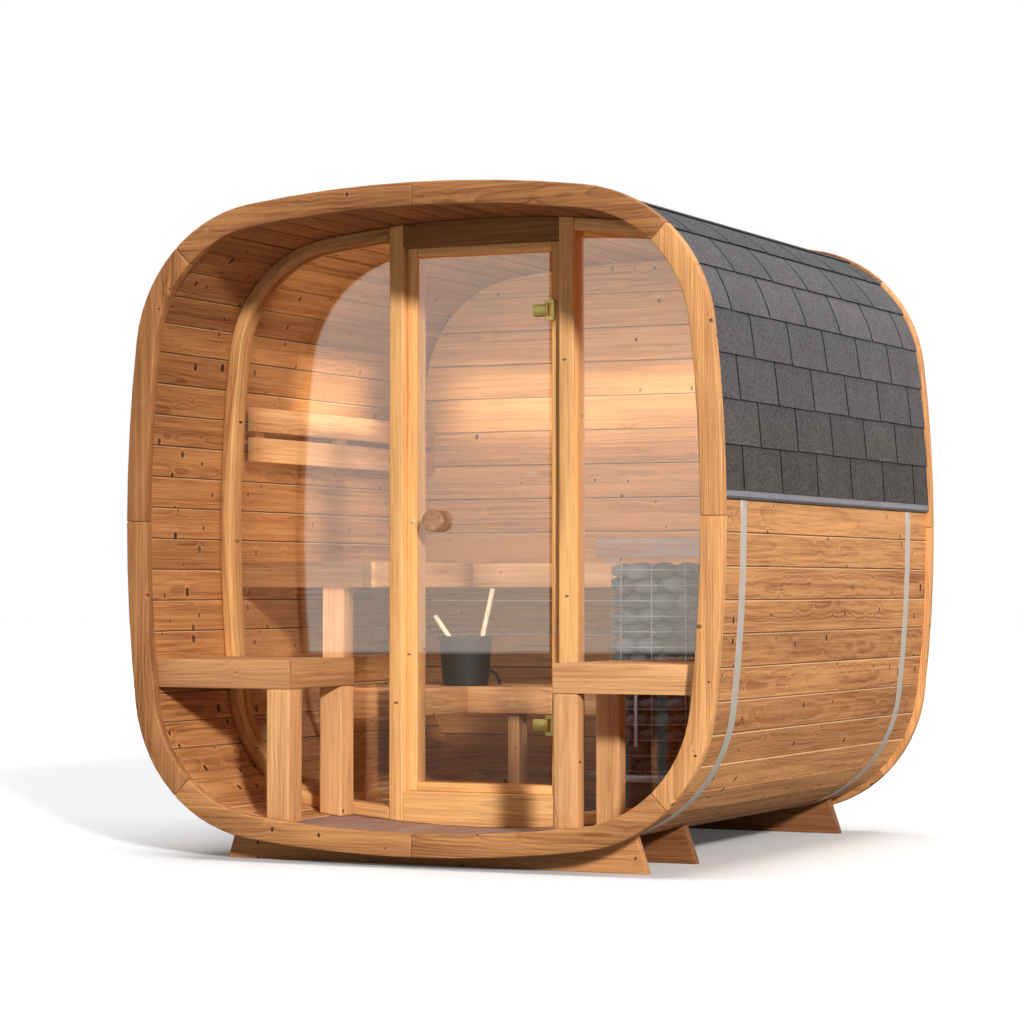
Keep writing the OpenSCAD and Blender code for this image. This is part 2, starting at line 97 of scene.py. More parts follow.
class ShellSettings(bpy.types.PropertyGroup):
    """Sizes of the shell's boards and of the curve that they follow."""

    side_radius: metres("Side radius", 5.3, "Radius of the bowed sides")
    crown_radius: metres("Crown radius", 4.66, "Radius of the bowed top and bottom")
    corner_radius: metres("Corner radius", 0.514, "Radius of the rounded corners")
    rim: metres("Rim", 0.02, "How far the boards lie inside the end rings' outer edge")
    thickness: metres("Board thickness", 0.044, "Thickness of a board")
    pitch: metres("Board pitch", 0.109, "Width of a board with its joint")
    joint: metres("Joint", 0.001, "Gap between two boards")
    joint_height: metres("Joint height", 1.101, "Height of one joint on the right wall")
    chamfer: metres("Chamfer", 0.0034, "Width of the chamfer on a board's long edges")
    back_board: metres("Back wall board", 0.134, "Height of a board of the back wall")


class RoofSettings(bpy.types.PropertyGroup):
    """Sizes of the shingles and the eave."""

    exposure: metres("Exposure", 0.1455, "Height of a row of shingles that shows")
    headlap: metres("Headlap", 0.035, "How far a row runs on under the next one")
    tab: metres("Tab width", 0.3525, "Width of a tab with its slot")
    slot: metres("Slot", 0.0115, "Gap between two tabs")
    thickness: metres("Shingle thickness", 0.0055, "Thickness of a shingle")
    first_slot: metres("First slot", 0.213, "Distance from the front to the first slot")
    stagger: metres("Stagger", 0.164, "Shift of every other row")
    lift: metres("Lift", 0.0105, "Height of a row's lower edge over the boards")
    cap: metres("Ridge cap", 0.28, "Width of the caps along the crown")


class TimberSettings(bpy.types.PropertyGroup):
    """Colours of the timber, the thickness of bench boards and the rounding of edges."""

    wall: tint("Wall boards", colour(226, 160, 98), "Pale wood of the shell's boards")
    ring: tint("Rings", colour(236, 170, 106), "Pale wood of the end rings")
    joinery: tint("Joinery", colour(252, 192, 122), "Pale wood of the door frame and battens")
    bench: tint("Benches", colour(234, 174, 116), "Pale wood of the benches")
    foot: tint("Feet", colour(218, 152, 94), "Pale wood of the feet")
    floor: tint("Floor boards", colour(156, 134, 126), "Worn wood of the floor")
    knob_turning: tint("Door knobs", colour(196, 156, 122), "Wood of the door knobs")
    guard: tint("Guard board", colour(136, 131, 132), "Grey wood of the heater's guard")
    ladle: tint("Ladles", colour(236, 206, 170), "Wood of the ladles")
    late: tint("Late wood", colour(136, 78, 38), "Dark lines of the grain")
    knot: tint("Knots", colour(58, 24, 12), "Colour of the knots")
    ring_width: metres("Year ring", 0.0075, "Distance between two lines of the grain")
    rounding: metres("Rounding", 0.005, "Rounding of the long edges of rings and posts")
    seat: metres("Bench board", 0.028, "Thickness of a bench's boards")
    seat_rounding: metres("Bench rounding", 0.003, "Rounding of the edges of a bench's boards")


class HeaterSettings(bpy.types.PropertyGroup):
    """Sizes of the heater's stones, wires and tray."""

    stone: metres("Stone", 0.104, "Width of a stone")
    layer: metres("Layer", 0.0505, "Height of a layer of stones")
    wire_pitch: metres("Wire pitch", 0.053, "Distance between two wires of the basket")
    wire: metres("Wire", 0.0018, "Radius of a wire")
    tray: metres("Tray", 0.026, "Height of the tray under the stones")


class StageSettings(bpy.types.PropertyGroup):
    """Light and floor."""

    floor: tint("Floor", (0.86, 0.86, 0.86), "Colour of the floor")
    key: amount("Key light", 3.35, "Strength of the sun from the front right")
    side: amount("Side light", 0.4, "Strength of the sun from the right and behind")
    top: amount("Top light", 2.6, "Strength of the soft light from above")
    sky: amount("Sky", 0.07, "Strength of the light from all round")
    room: amount("Room light", 23, "Strength of the broad light in the room")
    glow: amount("Room glow", 2.3, "Strength of the bands of light on the room's walls")


SETTINGS = {
    "sauna_shell": ShellSettings,
    "sauna_roof": RoofSettings,
    "sauna_timber": TimberSettings,
    "sauna_heater": HeaterSettings,
    "sauna_stage": StageSettings,
}


# ---- The outline ----


class Outline:
    """The rounded square that the shell follows, with a length to measure along it.

    It starts in the middle of the right wall and runs up over the crown. Depths are inwards.
    """

    def __init__(self, shell):
        half_width = BACK_HIGH.x - shell.rim
        half_height = (RING_HIGH.z - RING_LOW.z) / 2 - shell.rim
        self.middle = (RING_HIGH.z + RING_LOW.z) / 2
        side_radius = shell.side_radius - shell.rim
        crown_radius = shell.crown_radius - shell.rim
        corner_radius = shell.corner_radius - shell.rim
        side = Vector((half_width - side_radius, 0))
        crown = Vector((0, half_height - crown_radius))
        # The corner's centre is where two circles round the other centres meet.
        across = crown - side
        step = across.normalized()
        side_reach = side_radius - corner_radius
        crown_reach = crown_radius - corner_radius
        along = (side_reach**2 - crown_reach**2 + across.length**2) / (2 * across.length)
        corner = side + along * step + math.sqrt(side_reach**2 - along**2) * Vector((-step.y, step.x))
        corner_from = math.atan2(corner.y - side.y, corner.x - side.x)
        crown_from = math.atan2(corner.y - crown.y, corner.x - crown.x)
        self.arcs = (
            (side, side_radius, 0, corner_from),
            (corner, corner_radius, corner_from, crown_from),
            (crown, crown_radius, crown_from, math.pi / 2),
        )
        self.quarter = sum(radius * (end - start) for _, radius, start, end in self.arcs)
        self.samples = []

    def at(self, length, depth=0):
        """Point and outward normal at a length along the outline, in the X-Z plane."""
        turn, rest = divmod(length, self.quarter)
        turn = int(turn) % 4
        if turn % 2:
            rest = self.quarter - rest
        for centre, radius, start, end in self.arcs:
            if rest <= radius * (end - start) + 1e-9:
                break
            rest -= radius * (end - start)
        angle = start + rest / radius
        normal = Vector((math.cos(angle), math.sin(angle)))
        point = centre + (radius - depth) * normal
        flip_x = -1 if turn in (1, 2) else 1
        flip_z = -1 if turn in (2, 3) else 1
        return (
            Vector((flip_x * point.x, 0, self.middle + flip_z * point.y)),
            Vector((flip_x * normal.x, 0, flip_z * normal.y)),
        )

    def at_height(self, height):
        """Length along the right wall to a height."""
        radius = self.arcs[0][1]
        return radius * math.asin((height - self.middle) / radius)

    def put(self, vert, length, depth):
        """Move a corner of a piece to a length and a depth, and leave its Y."""
        point, normal = self.at(length)
        vert.co.x = point.x - normal.x * depth
        vert.co.z = point.z - normal.z * depth

    def locate(self, point):
        """Length along the outline and depth inside it of the nearest place to a point."""
        if not self.samples:
            count = 1200
            lengths = [i * 4 * self.quarter / count for i in range(count)]
            self.samples = [(length, *self.at(length)) for length in lengths]
        flat = Vector((point.x, 0, point.z))
        length, near, normal = min(self.samples, key=lambda sample: (sample[1] - flat).length_squared)
        return length, (near - flat).dot(normal)


# ---- Shapes ----


def outward(piece):
    """Point every face outwards."""
    bmesh.ops.recalc_face_normals(piece, faces=piece.faces)


def moved(piece, matrix):
    """The piece, carried by a matrix."""
    bmesh.ops.transform(piece, matrix=matrix, verts=piece.verts)
    return piece


def join(whole, piece):
    """Add a piece to a mesh, and free it."""
    store = bpy.data.meshes.new("part")
    piece.to_mesh(store)
    piece.free()
    whole.from_mesh(store)
    bpy.data.meshes.remove(store)


def copy_of(name):
    """A merged copy of a CAD node's mesh, with each flat side as one face."""
    piece = bmesh.new()
    piece.from_mesh(nodes[name].data)
    bmesh.ops.remove_doubles(piece, verts=piece.verts, dist=20 * MERGE)
    bmesh.ops.dissolve_limit(piece, angle_limit=math.radians(0.3), verts=piece.verts, edges=piece.edges)
    return piece


def carve(name, low=(None, None, None), high=(None, None, None)):
    """The part of a CAD node between two corners. None leaves a side as it is."""
    piece = copy_of(name)
    for axis in range(3):
        for limit, way in ((low[axis], -1), (high[axis], 1)):
            if limit is None:
                continue
            point, normal = Vector((0, 0, 0)), Vector((0, 0, 0))
            point[axis], normal[axis] = limit, way
            whole = piece.verts[:] + piece.edges[:] + piece.faces[:]
            bmesh.ops.bisect_plane(
                piece, geom=whole, dist=MERGE, plane_co=point, plane_no=normal, clear_outer=True
            )
            close(piece)
    return piece


def bevel(piece, edges, width, segments):
    """Round some edges, or chamfer them with one segment."""
    bmesh.ops.bevel(
        piece, geom=edges, offset=width, offset_type="OFFSET", affect="EDGES", segments=segments,
        profile=0.5, material=-1, clamp_overlap=True,
    )
    return piece


def soften(piece, width, segments=2):
    """Round the edges where two sides meet at an angle."""
    angle = math.radians(30)
    edges = [edge for edge in piece.edges if edge.is_manifold and edge.calc_face_angle(0) > angle]
    return bevel(piece, edges, width, segments)


def close(piece):
    """Fill the open rims."""
    rims = [edge for edge in piece.edges if edge.is_boundary]
    bmesh.ops.holes_fill(piece, edges=rims, sides=0)


def edges_along(piece, axis, length):
    """The edges that run along an axis for more than half of a length."""
    return [e for e in piece.edges if abs(e.verts[0].co[axis] - e.verts[1].co[axis]) > length / 2]


def block(size):
    """A board of the given size round the origin."""
    piece = bmesh.new()
    bmesh.ops.create_cube(piece, size=1)
    bmesh.ops.scale(piece, vec=size, verts=piece.verts)
    return piece


def spun(piece, steps):
    """A closed round shape from what the piece holds, about the Z axis."""
    bmesh.ops.spin(
        piece, geom=piece.verts[:] + piece.edges[:], cent=(0, 0, 0), axis=(0, 0, 1), angle=2 * math.pi,
        steps=steps, use_merge=True,
    )
    bmesh.ops.remove_doubles(piece, verts=piece.verts, dist=MERGE)
    outward(piece)
    return piece


def turned(profile, steps=40):
    """A closed round shape from a profile of (radius, height)."""
    piece = bmesh.new()
    points = [piece.verts.new((radius, 0, height)) for radius, height in profile]
    for pair in zip(points, points[1:]):
        piece.edges.new(pair)
    return spun(piece, steps)


def hoop_wire(radius, wire):
    """A ring of round wire about the Z axis."""
    piece = bmesh.new()
    bmesh.ops.create_circle(piece, segments=6, radius=wire)
    moved(piece, Matrix.Translation((radius, 0, 0)) @ Matrix.Rotation(math.pi / 2, 4, "X"))
    return spun(piece, 48)


def rod(start, end, radius, sides, end_radius=None):
    """A closed round bar between two points."""
    piece = bmesh.new()
    start, end = Vector(start), Vector(end)
    run = end - start
    last = radius if end_radius is None else end_radius
    bmesh.ops.create_cone(
        piece, cap_ends=True, segments=sides, radius1=radius, radius2=last, depth=run.length
    )
    turn = Vector((0, 0, 1)).rotation_difference(run).to_matrix().to_4x4()
    return moved(piece, Matrix.Translation((start + end) / 2) @ turn)


# ---- Timber ----


def islands(piece):
    """The loose parts of a mesh, each as a list of its vertices, from the lowest part up."""
    left = set(piece.verts)
    parts = []
    while left:
        found = [left.pop()]
        for vert in found:
            for edge in vert.link_edges:
                other = edge.other_vert(vert)
                if other in left:
                    left.remove(other)
                    found.append(other)
        lowest = [min(round(vert.co[axis], 4) for vert in found) for axis in (2, 0, 1)]
        parts.append((lowest, found))
    parts.sort(key=lambda part: part[0])
    return [found for lowest, found in parts]


class Timber:
    """Boards gathered in one mesh. Each has its own run of grain and its own tone.

    The tones are two limits, or a function that gives them for the middle of a board.
    Boards with painted chamfer light get a painted highlight along their upper chamfers and painted shade
    along the lower ones.
    """

    def __init__(self, seed, tones=(0, 1), painted_chamfer_light=False):
        self.random = random.Random(seed)
        self.tones = tones
        self.painted_chamfer_light = painted_chamfer_light
        self.whole = bmesh.new()

    def lay(self, piece, place=None, along=None):
        """Give each loose part of a piece its grain, along its longest side, and add it."""
        place = place or Matrix.Identity(4)
        grain = piece.verts.layers.float_vector.new("grain")
        tone = piece.verts.layers.float.new("tone")
        edge = piece.faces.layers.float.new("edge")
        for part in islands(piece):
            low = Vector([min(vert.co[i] for vert in part) for i in range(3)])
            high = Vector([max(vert.co[i] for vert in part) for i in range(3)])
            order = sorted(range(3), key=lambda i: -(high - low)[i])
            if along is not None:
                order.remove(along)
                order.insert(0, along)
            middle = (low + high) / 2
            # Where the board was sawn: how far up the tree, and where its middle lies from the pith.
            start = (
                self.random.uniform(0, 60),
                self.random.uniform(-0.05, 0.05),
                self.random.uniform(0.035, 0.12),
            )
            tones = self.tones(place @ middle) if callable(self.tones) else self.tones
            shade = self.random.uniform(*tones)
            for vert in part:
                vert[grain] = Vector([vert.co[i] - middle[i] for i in order]) + Vector(start)
                vert[tone] = shade
        piece.normal_update()
        slanted = [face for face in piece.faces if max(abs(c) for c in face.normal) < 0.95]
        moved(piece, place)
        piece.normal_update()
        # Painted light on the chamfers: those that face up are marked for a painted highlight, those that
        # face down for painted shade.
        for face in slanted:
            if self.painted_chamfer_light and abs(face.normal.z) > 0.2:
                face[edge] = math.copysign(1, face.normal.z)
        join(self.whole, piece)

    def bend(self, piece, outline, shade):
        """Give a piece that follows the outline a grain that follows it too, and add it."""
        grain = piece.verts.layers.float_vector.new("grain")
        tone = piece.verts.layers.float.new("tone")
        start = Vector((self.random.uniform(0, 60), self.random.uniform(-0.05, 0.05), 0.03))
        for vert in piece.verts:
            length, depth = outline.locate(vert.co)
            vert[grain] = Vector((length, depth, vert.co.y)) + start
            vert[tone] = shade
        join(self.whole, piece)


def finished(name, piece, material, replaced=(), body=CABIN, smooth=40):
    """Turn a mesh into an object of the model, on its body."""
    mesh = bpy.data.meshes.new(name)
    piece.normal_update()
    piece.to_mesh(mesh)
    piece.free()
    mesh.materials.append(material)
    mesh.shade_smooth()
    mesh.set_sharp_from_angle(angle=math.radians(smooth))
    thing = bpy.data.objects.new(name, mesh)
    bpy.context.scene.collection.objects.link(thing)
    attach(thing, body)
    if replaced:
        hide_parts(*replaced)


def softened(name, node, kind, seed, width, segments=2, tones=(0, 1)):
    """A piece that is a CAD node with its edges rounded, in a kind of wood."""
    timber = Timber(seed, tones)
    timber.lay(soften(copy_of(node), width, segments))
    finished(name, timber.whole, wood(kind), [node])


# ---- Finishes ----


def arithmetic(operation):
    """An operator for Field, and its reflected form for a plain number on the left."""

    def forward(self, other):
        return self.finish.math(operation, self, other)

    def reflected(self, other):
        return self.finish.math(operation, other, self)

    return forward, reflected


class Field:
    """A value that varies over a surface. Arithmetic on it adds Math nodes."""

    __add__, __radd__ = arithmetic("ADD")
    __sub__, __rsub__ = arithmetic("SUBTRACT")
    __mul__, __rmul__ = arithmetic("MULTIPLY")
    __truediv__, __rtruediv__ = arithmetic("DIVIDE")
    __pow__, __rpow__ = arithmetic("POWER")

    def __init__(self, finish, socket):
        self.finish = finish
        self.socket = socket


class Finish:
    """A material or a world in the making."""

    def __init__(self, owner):
        owner.use_nodes = True
        self.owner = owner
        self.tree = owner.node_tree
        self.tree.nodes.clear()

    def node(self, kind, settings=None, sockets=None, out=0):
        """Add a node with its settings, then its sockets, and give one of its outputs."""
        made = self.tree.nodes.new(kind)
        for key, value in (settings or {}).items():
            setattr(made, key, value)
        for key, value in (sockets or {}).items():
            if isinstance(key, int):
                socket = made.inputs[key]
            else:
                socket = next(s for s in made.inputs if key in (s.identifier, s.name) and s.enabled)
            if isinstance(value, Field):
                self.tree.links.new(value.socket, socket)
            elif socket.type == "RGBA" and len(value) == 3:
                socket.default_value = (*value, 1)
            else:
                socket.default_value = value
        return Field(self, made.outputs[out]) if len(made.outputs) else made

    def math(self, operation, *values, clamp=False):
        """A Math node."""
        settings = {"operation": operation, "use_clamp": clamp}
        return self.node("ShaderNodeMath", settings, dict(enumerate(values)))

    def clamp(self, value):
        """The value held between 0 and 1."""
        return self.math("ADD", value, 0, clamp=True)

    def vector(self, operation, *values, out=0):
        """A Vector Math node."""
        return self.node("ShaderNodeVectorMath", {"operation": operation}, dict(enumerate(values)), out)

    def split(self, vector):
        """The three parts of a vector."""
        first = self.node("ShaderNodeSeparateXYZ", None, {0: vector})
        return [Field(self, socket) for socket in first.socket.node.outputs]

    def mix(self, factor, first, second):
        """A mix of two colours."""
        sockets = {"Factor_Float": factor, "A_Color": first, "B_Color": second}
        made = self.node("ShaderNodeMix", {"data_type": "RGBA"}, sockets)
        return Field(self, next(s for s in made.socket.node.outputs if s.identifier == "Result_Color"))

    def noise(self, vector, scale=1.0, detail=2.0, roughness=0.5, stretch=None):
        """Cloudy noise from 0 to 1, on a vector that may be stretched first."""
        if stretch is not None:
            vector = self.vector("MULTIPLY", vector, stretch)
        sockets = {"Vector": vector, "Scale": scale, "Detail": detail, "Roughness": roughness}
        return self.node("ShaderNodeTexNoise", None, sockets)

    def attribute(self, name, out=2):
        """What a mesh stores at each point: its number, or with out=1 its vector."""
        return self.node("ShaderNodeAttribute", {"attribute_name": name}, None, out)

    def place(self):
        """Where a point lies in its object."""
        return self.node("ShaderNodeTexCoord", None, None, 3)

    def bump(self, height, strength, distance):
        """A normal that follows a height."""
        sockets = {"Strength": strength, "Distance": distance, "Height": height}
        return self.node("ShaderNodeBump", None, sockets)

    def surface(self, **sockets):
        """Close the material with a Principled shader."""
        named = {key.replace("_", " "): value for key, value in sockets.items()}
        shader = self.node("ShaderNodeBsdfPrincipled", None, named)
        self.node("ShaderNodeOutputMaterial", None, {"Surface": shader})
        return self.owner


# For each kind of wood: whose colour it has, its share of knots, their size, the grain's strength.
WOODS = {
    "wall": ("wall", 0.95, 1.15, 0.9),
    "lining": ("wall", 0.7, 0.8, 0.8),
    "floor": ("floor", 0.5, 1.0, 0.6),
    "ring": ("ring", 0.8, 0.8, 0.85),
    "foot": ("foot", 0.5, 1.0, 0.8),
    "joinery": ("joinery", 0.3, 0.7, 0.6),
    "bench": ("bench", 0.45, 0.85, 0.55),
    "guard": ("guard", 0.2, 1.0, 1.0),
    "knob": ("knob_turning", 0.0, 1.0, 1.0),
    "ladle": ("ladle", 0.0, 1.0, 1.0),
}


def wood(kind):
    """The wood of one kind of piece, made once."""
    name = f"{kind} wood"
    known = bpy.data.materials.get(name)
    if known is not None:
        return known
    look = bpy.context.scene.sauna_timber
    pale, *figure = WOODS[kind]
    return softwood(name, tuple(getattr(look, pale)), look, *figure)


def softwood(name, pale, look, knottiness, knot, lines):
    """Sawn softwood: year rings round a pith, fine fibre, drifting tone and dark knots.

    A board's tone runs from 0, pale, to 1, brown, and on to 2, darkened further as painted shade.
    """
    finish = Finish(bpy.data.materials.new(name))
    late, knot_colour = tuple(look.late), tuple(look.knot)
    grain = finish.attribute("grain", 1)
    tone = finish.attribute("tone")
    edge = finish.attribute("edge")
    along, across, down = finish.split(grain)

    # Knots lie in cells along the board, and only some of the cells hold one.
    cell = (0.2, 0.08, 0.045)
    spread = finish.vector("DIVIDE", grain, cell)
    settings = {"voronoi_dimensions": "3D", "feature": "F1"}
    sockets = {"Vector": spread, "Scale": 1.0, "Randomness": 0.9}
    picked = finish.node("ShaderNodeTexVoronoi", settings, sockets, 1)
    centre = Field(finish, picked.socket.node.outputs["Position"])
    squeeze = (cell[0], cell[1] * 0.75, cell[2] * 0.5)
    away = finish.vector("MULTIPLY", finish.vector("SUBTRACT", spread, centre), squeeze)
    ragged = finish.noise(grain, detail=1, stretch=(70, 70, 70))
    distance = finish.vector("LENGTH", away, out=1) + (ragged - 0.5) * 0.004
    chance, size, slant = finish.split(picked)
    held = finish.math("LESS_THAN", chance, knottiness)
    radius = (size * size * 0.006 + 0.0046) * knot
    core = finish.clamp((radius - distance) / 0.0022 + 0.5) * held
    halo = finish.clamp((radius * 2.4 - distance) / 0.01) * held
    swell = 1 / ((distance / 0.02) ** 2 + 1) * held

    # Year rings are distances from a pith that wanders slowly along the board.
    slow = finish.noise(grain, detail=0, stretch=(0.5, 0.2, 0.2))
    slower = finish.noise(grain, 1.3, 0, stretch=(0.7, 0.2, 0.3))
    ripple = finish.noise(grain, detail=1, stretch=(0.8, 10, 10))
    side = across + (slow - 0.5) * 0.07
    height = down + (slower - 0.5) * 0.05
    pith = finish.math("SQRT", side * side + height * height)
    count = (pith + swell * 0.006 + (ripple - 0.5) * 0.005) / look.ring_width
    saw = finish.math("FRACT", count)
    line = saw**3.0 * finish.clamp((1 - saw) * 7)

    # Fibre, streaks and patches break the rings up.
    fibre = finish.noise(grain, stretch=(6, 260, 260))
    streak = finish.noise(grain, detail=3, stretch=(1.2, 70, 70))
    patch = finish.noise(grain, stretch=(1.3, 11, 11))
    depth = (
        line * (patch * 1.4 - 0.1) * (0.8 * lines)
        + (fibre - 0.5) * (0.5 + 0.45 * lines)
        + (streak - 0.5) * (0.2 + 1.05 * lines)
        + (patch - 0.5) * 0.85
        + (finish.math("MINIMUM", tone, 1) - 0.5) * 0.36
        - halo * 0.12
        + 0.22
    )
    base = finish.mix(finish.clamp(depth), pale, late)
    base = finish.mix(core * (slant * 0.35 + 0.7), base, knot_colour)
    # Painted highlight on the chamfers marked as facing up, and painted shade on those facing down.
    base = finish.mix(finish.clamp(edge) * 0.42, base, colour(255, 216, 166))
    base = finish.mix(finish.clamp(0 - edge) * 0.6, base, knot_colour)
    # Tones over 1 darken the whole board: painted shade for boards that lie in shade.
    painted_shade = finish.mix(finish.clamp(tone - 1), (1, 1, 1), (0.42, 0.35, 0.28))
    return finish.surface(
        Base_Color=finish.vector("MULTIPLY", base, painted_shade),
        Roughness=fibre * 0.2 + 0.52,
        Specular_IOR_Level=0.35,
        Normal=finish.bump(fibre * 0.5 - line * 0.5 - core * 0.8, 0.4, 0.0014),
    )


def shingle_felt():
    """Mineral roofing felt with granules, a tone for each tab and painted shade on the tabs' narrow sides.
    """
    finish = Finish(bpy.data.materials.new("shingle felt"))
    place = finish.place()
    tone = finish.attribute("tone")
    grit = finish.noise(place, 420, 2, 0.7)
    clump = finish.noise(place, 95, 2, 0.7)
    blotch = finish.noise(place, 9, 3)
    depth = finish.clamp(
        (grit - 0.5) * 1.8 + (clump - 0.5) * 1.2 + (blotch - 0.5) * 0.3 + (tone - 0.5) * 0.85 + 0.44
    )
    base = finish.mix(depth, colour(37, 35, 34), colour(122, 118, 117))
    height = finish.split(place)[2]
    # Painted light: the felt is tinted warmer low on the roof and bluer towards the crown.
    painted_light_tint = finish.mix(finish.clamp((height - 1.2) / 0.6), (1, 0.92, 0.84), (1, 1, 1.07))
    base = finish.vector("MULTIPLY", base, painted_light_tint)
    # The tabs' narrow sides are painted near black: painted shade in the slots and under the rows' lower
    # edges.
    return finish.surface(
        Base_Color=finish.mix(finish.attribute("edge") * 0.85, base, colour(12, 12, 13)),
        Roughness=blotch * 0.1 + 0.8,
        Specular_IOR_Level=0.25,
        Normal=finish.bump(grit, 0.6, 0.0014),
    )


def slot_shade_felt():
    """The sheet under the shingles, near black as painted shade for the slots."""
    finish = Finish(bpy.data.materials.new("underlay"))
    grit = finish.noise(finish.place(), 300)
    return finish.surface(Base_Color=finish.mix(grit, colour(8, 8, 9), colour(18, 18, 19)), Roughness=0.95)


def metal(name, pale, dark, roughness, metallic, stretch=(1, 1, 1), scale=60):
    """Metal with faint streaks and smudges."""
    finish = Finish(bpy.data.materials.new(name))
    streak = finish.noise(finish.place(), scale, 3, 0.6, stretch)
    smudge = finish.noise(finish.place(), 14)
    return finish.surface(
        Base_Color=finish.mix(streak * 0.6 + smudge * 0.4, pale, dark),
        Metallic=metallic,
        Roughness=smudge * 0.16 + (streak * 0.12 + (roughness - 0.12)),
        Normal=finish.bump(streak, 0.12, 0.0005),
    )


def coated(name, shade, other, roughness):
    """A painted or moulded surface with a fine texture and soft wear."""
    finish = Finish(bpy.data.materials.new(name))
    place = finish.place()
    fine = finish.noise(place, 560)
    broad = finish.noise(place, 14, 3)
    return finish.surface(
        Base_Color=finish.mix(finish.clamp(broad * 1.4 - 0.2), shade, other),
        Roughness=broad * 0.2 + (roughness - 0.1),
        Normal=finish.bump(fine, 0.15, 0.0006),
    )


def pane_glass():
    """Clear pane: it lets light through and mirrors more at a slant."""
    finish = Finish(bpy.data.materials.new("pane glass"))
    smear = finish.noise(finish.place(), 3)
    facing = finish.node("ShaderNodeLayerWeight", None, {"Blend": 0.5}, "Facing")
    shine = facing**5 * 0.7 + 0.125 + (smear - 0.5) * 0.01
    clear = finish.node("ShaderNodeBsdfTransparent", None, {"Color": (0.98, 0.985, 0.98)})
    mirror = finish.node("ShaderNodeBsdfGlossy", None, {"Color": (1.0, 0.9, 0.79), "Roughness": 0.0})
    sockets = {0: finish.clamp(shine), 1: clear, 2: mirror}
    glazing = finish.node("ShaderNodeMixShader", None, sockets)
    finish.node("ShaderNodeOutputMaterial", None, {"Surface": glazing})
    return finish.owner


def stone_finish():
    """Split dark rock, with grain and pale mineral flecks."""
    finish = Finish(bpy.data.materials.new("heater stone"))
    place = finish.place()
    tone = finish.attribute("tone")
    cloud = finish.noise(place, 26, 4, 0.65)
    fleck = finish.clamp((finish.noise(place, 260) - 0.62) * 8)
    depth = finish.clamp((cloud - 0.5) * 1.5 + (tone - 0.5) * 0.8 + 0.4)
    base = finish.mix(depth, colour(30, 29, 31), colour(70, 69, 73))
    return finish.surface(
        Base_Color=finish.mix(fleck * 0.5, base, colour(176, 172, 168)),
        Roughness=cloud * 0.3 + 0.55,
        Normal=finish.bump(cloud, 0.6, 0.006),
    )


# ---- Pieces ----


def share_of_height(middle):
    """How high a point lies on the rings, from 0 to 1."""
    return (middle.z - RING_LOW.z) / (RING_HIGH.z - RING_LOW.z)


class SAUNA_OT_shell(bpy.types.Operator):
    """Lay the boards of the floor, walls and roof round the outline"""

    bl_idname = "sauna.shell"
    bl_label = "Shell boards"

    def execute(self, context):
        shell = context.scene.sauna_shell
        outline = Outline(shell)
        around = 4 * outline.quarter
        count = round(around / shell.pitch)
        pitch = around / count
        start = outline.at_height(shell.joint_height)
        # Boards whose middle lies lower than this are the floor's.
        floor_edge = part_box("floor_boards")[1].z - 0.03
        walls = Timber(11, self.tones, painted_chamfer_light=True)
        floor = Timber(12, self.tones)
        for i in range(count):
            ends = [start + i * pitch + shell.joint / 2, start + (i + 1) * pitch - shell.joint / 2]
            outer = [outline.at(length % around)[0] for length in ends]
            inner = [outline.at(length % around, shell.thickness)[0] for length in ends]
            up = (outer[1] - outer[0]).normalized()
            out = up.cross(Vector((0, -1, 0)))
            centre = (outer[0] + outer[1] + inner[0] + inner[1]) / 4
            centre.y = (WALL_HIGH.y + WALL_LOW.y) / 2
            turn = Matrix(((-up.x, 0, out.x), (0, 1, 0), (-up.z, 0, out.z))).to_4x4()
            timber = floor if centre.z < floor_edge else walls
            timber.lay(self.board(outer, inner, shell), Matrix.Translation(centre) @ turn, along=1)
        replaced = ["roof_boards", "wall_left", "wall_right", "corners_left", "corners_right"]
        finished("shell_boards", walls.whole, wood("wall"), replaced)
        finished("laid_floor", floor.whole, wood("floor"), ["floor_boards"])
        return {"FINISHED"}

    def tones(self, middle):
        """Painted shade: the ceiling's boards are the darkest, those of the left side darken upwards, and
        those high on the right side are the palest.
        """
        height = share_of_height(middle)
        if height > 0.84:
            return 1.6, 1.9
        if height < 0.06:
            return 0.6, 0.9
        if middle.x < 0:
            return 0.75 + height, 1.05 + height
        if height > 0.42:
            return 0.1, 0.8
        return (0.7, 1.3) if height > 0.13 else (0, 0.5)

    def board(self, outer, inner, shell):
        """A board with chamfers, narrower on its inner side, whose tongues nearly close the joints."""
        length = WALL_HIGH.y - WALL_LOW.y
        width = (outer[0] - outer[1]).length
        board = block((width, length, shell.thickness))
        below = [vert for vert in board.verts if vert.co.z < 0]
        bmesh.ops.scale(board, vec=((inner[0] - inner[1]).length / width, 1, 1), verts=below)
        long_edges = edges_along(board, 1, length)
        sides = [face for face in board.faces if abs(face.normal.x) > 0.9]
        shoulder, tongue = shell.thickness / 4, shell.joint / 2 - 0.0001
        bmesh.ops.inset_region(
            board, faces=sides, thickness=shoulder, depth=tongue, use_even_offset=True
        )
        return bevel(board, long_edges, shell.chamfer, 1)


class SAUNA_OT_rings(bpy.types.Operator):
    """Round the boards of the two end rings"""

    bl_idname = "sauna.rings"
    bl_label = "End rings"

    def execute(self, context):
        width = context.scene.sauna_timber.rounding
        rings = ("front_ring_left", "front_ring_right", "back_ring_left", "back_ring_right")
        for seed, node in enumerate(rings, 20):
            softened(node + "_boards", node, "ring", seed, width, 3, self.tones)
        return {"FINISHED"}

    def tones(self, middle):
        """Painted shade: the top boards are the darkest, then those of the left side and the bottom, and
        those of the right side are the palest.
        """
        height = share_of_height(middle)
        if height > 0.8:
            return 1.65, 1.8
        if height < 0.2:
            return 1.3, 1.45
        if middle.x < 0:
            return 1.6, 1.7
        return (0.45, 0.65) if height > 0.5 else (0.35, 0.55)


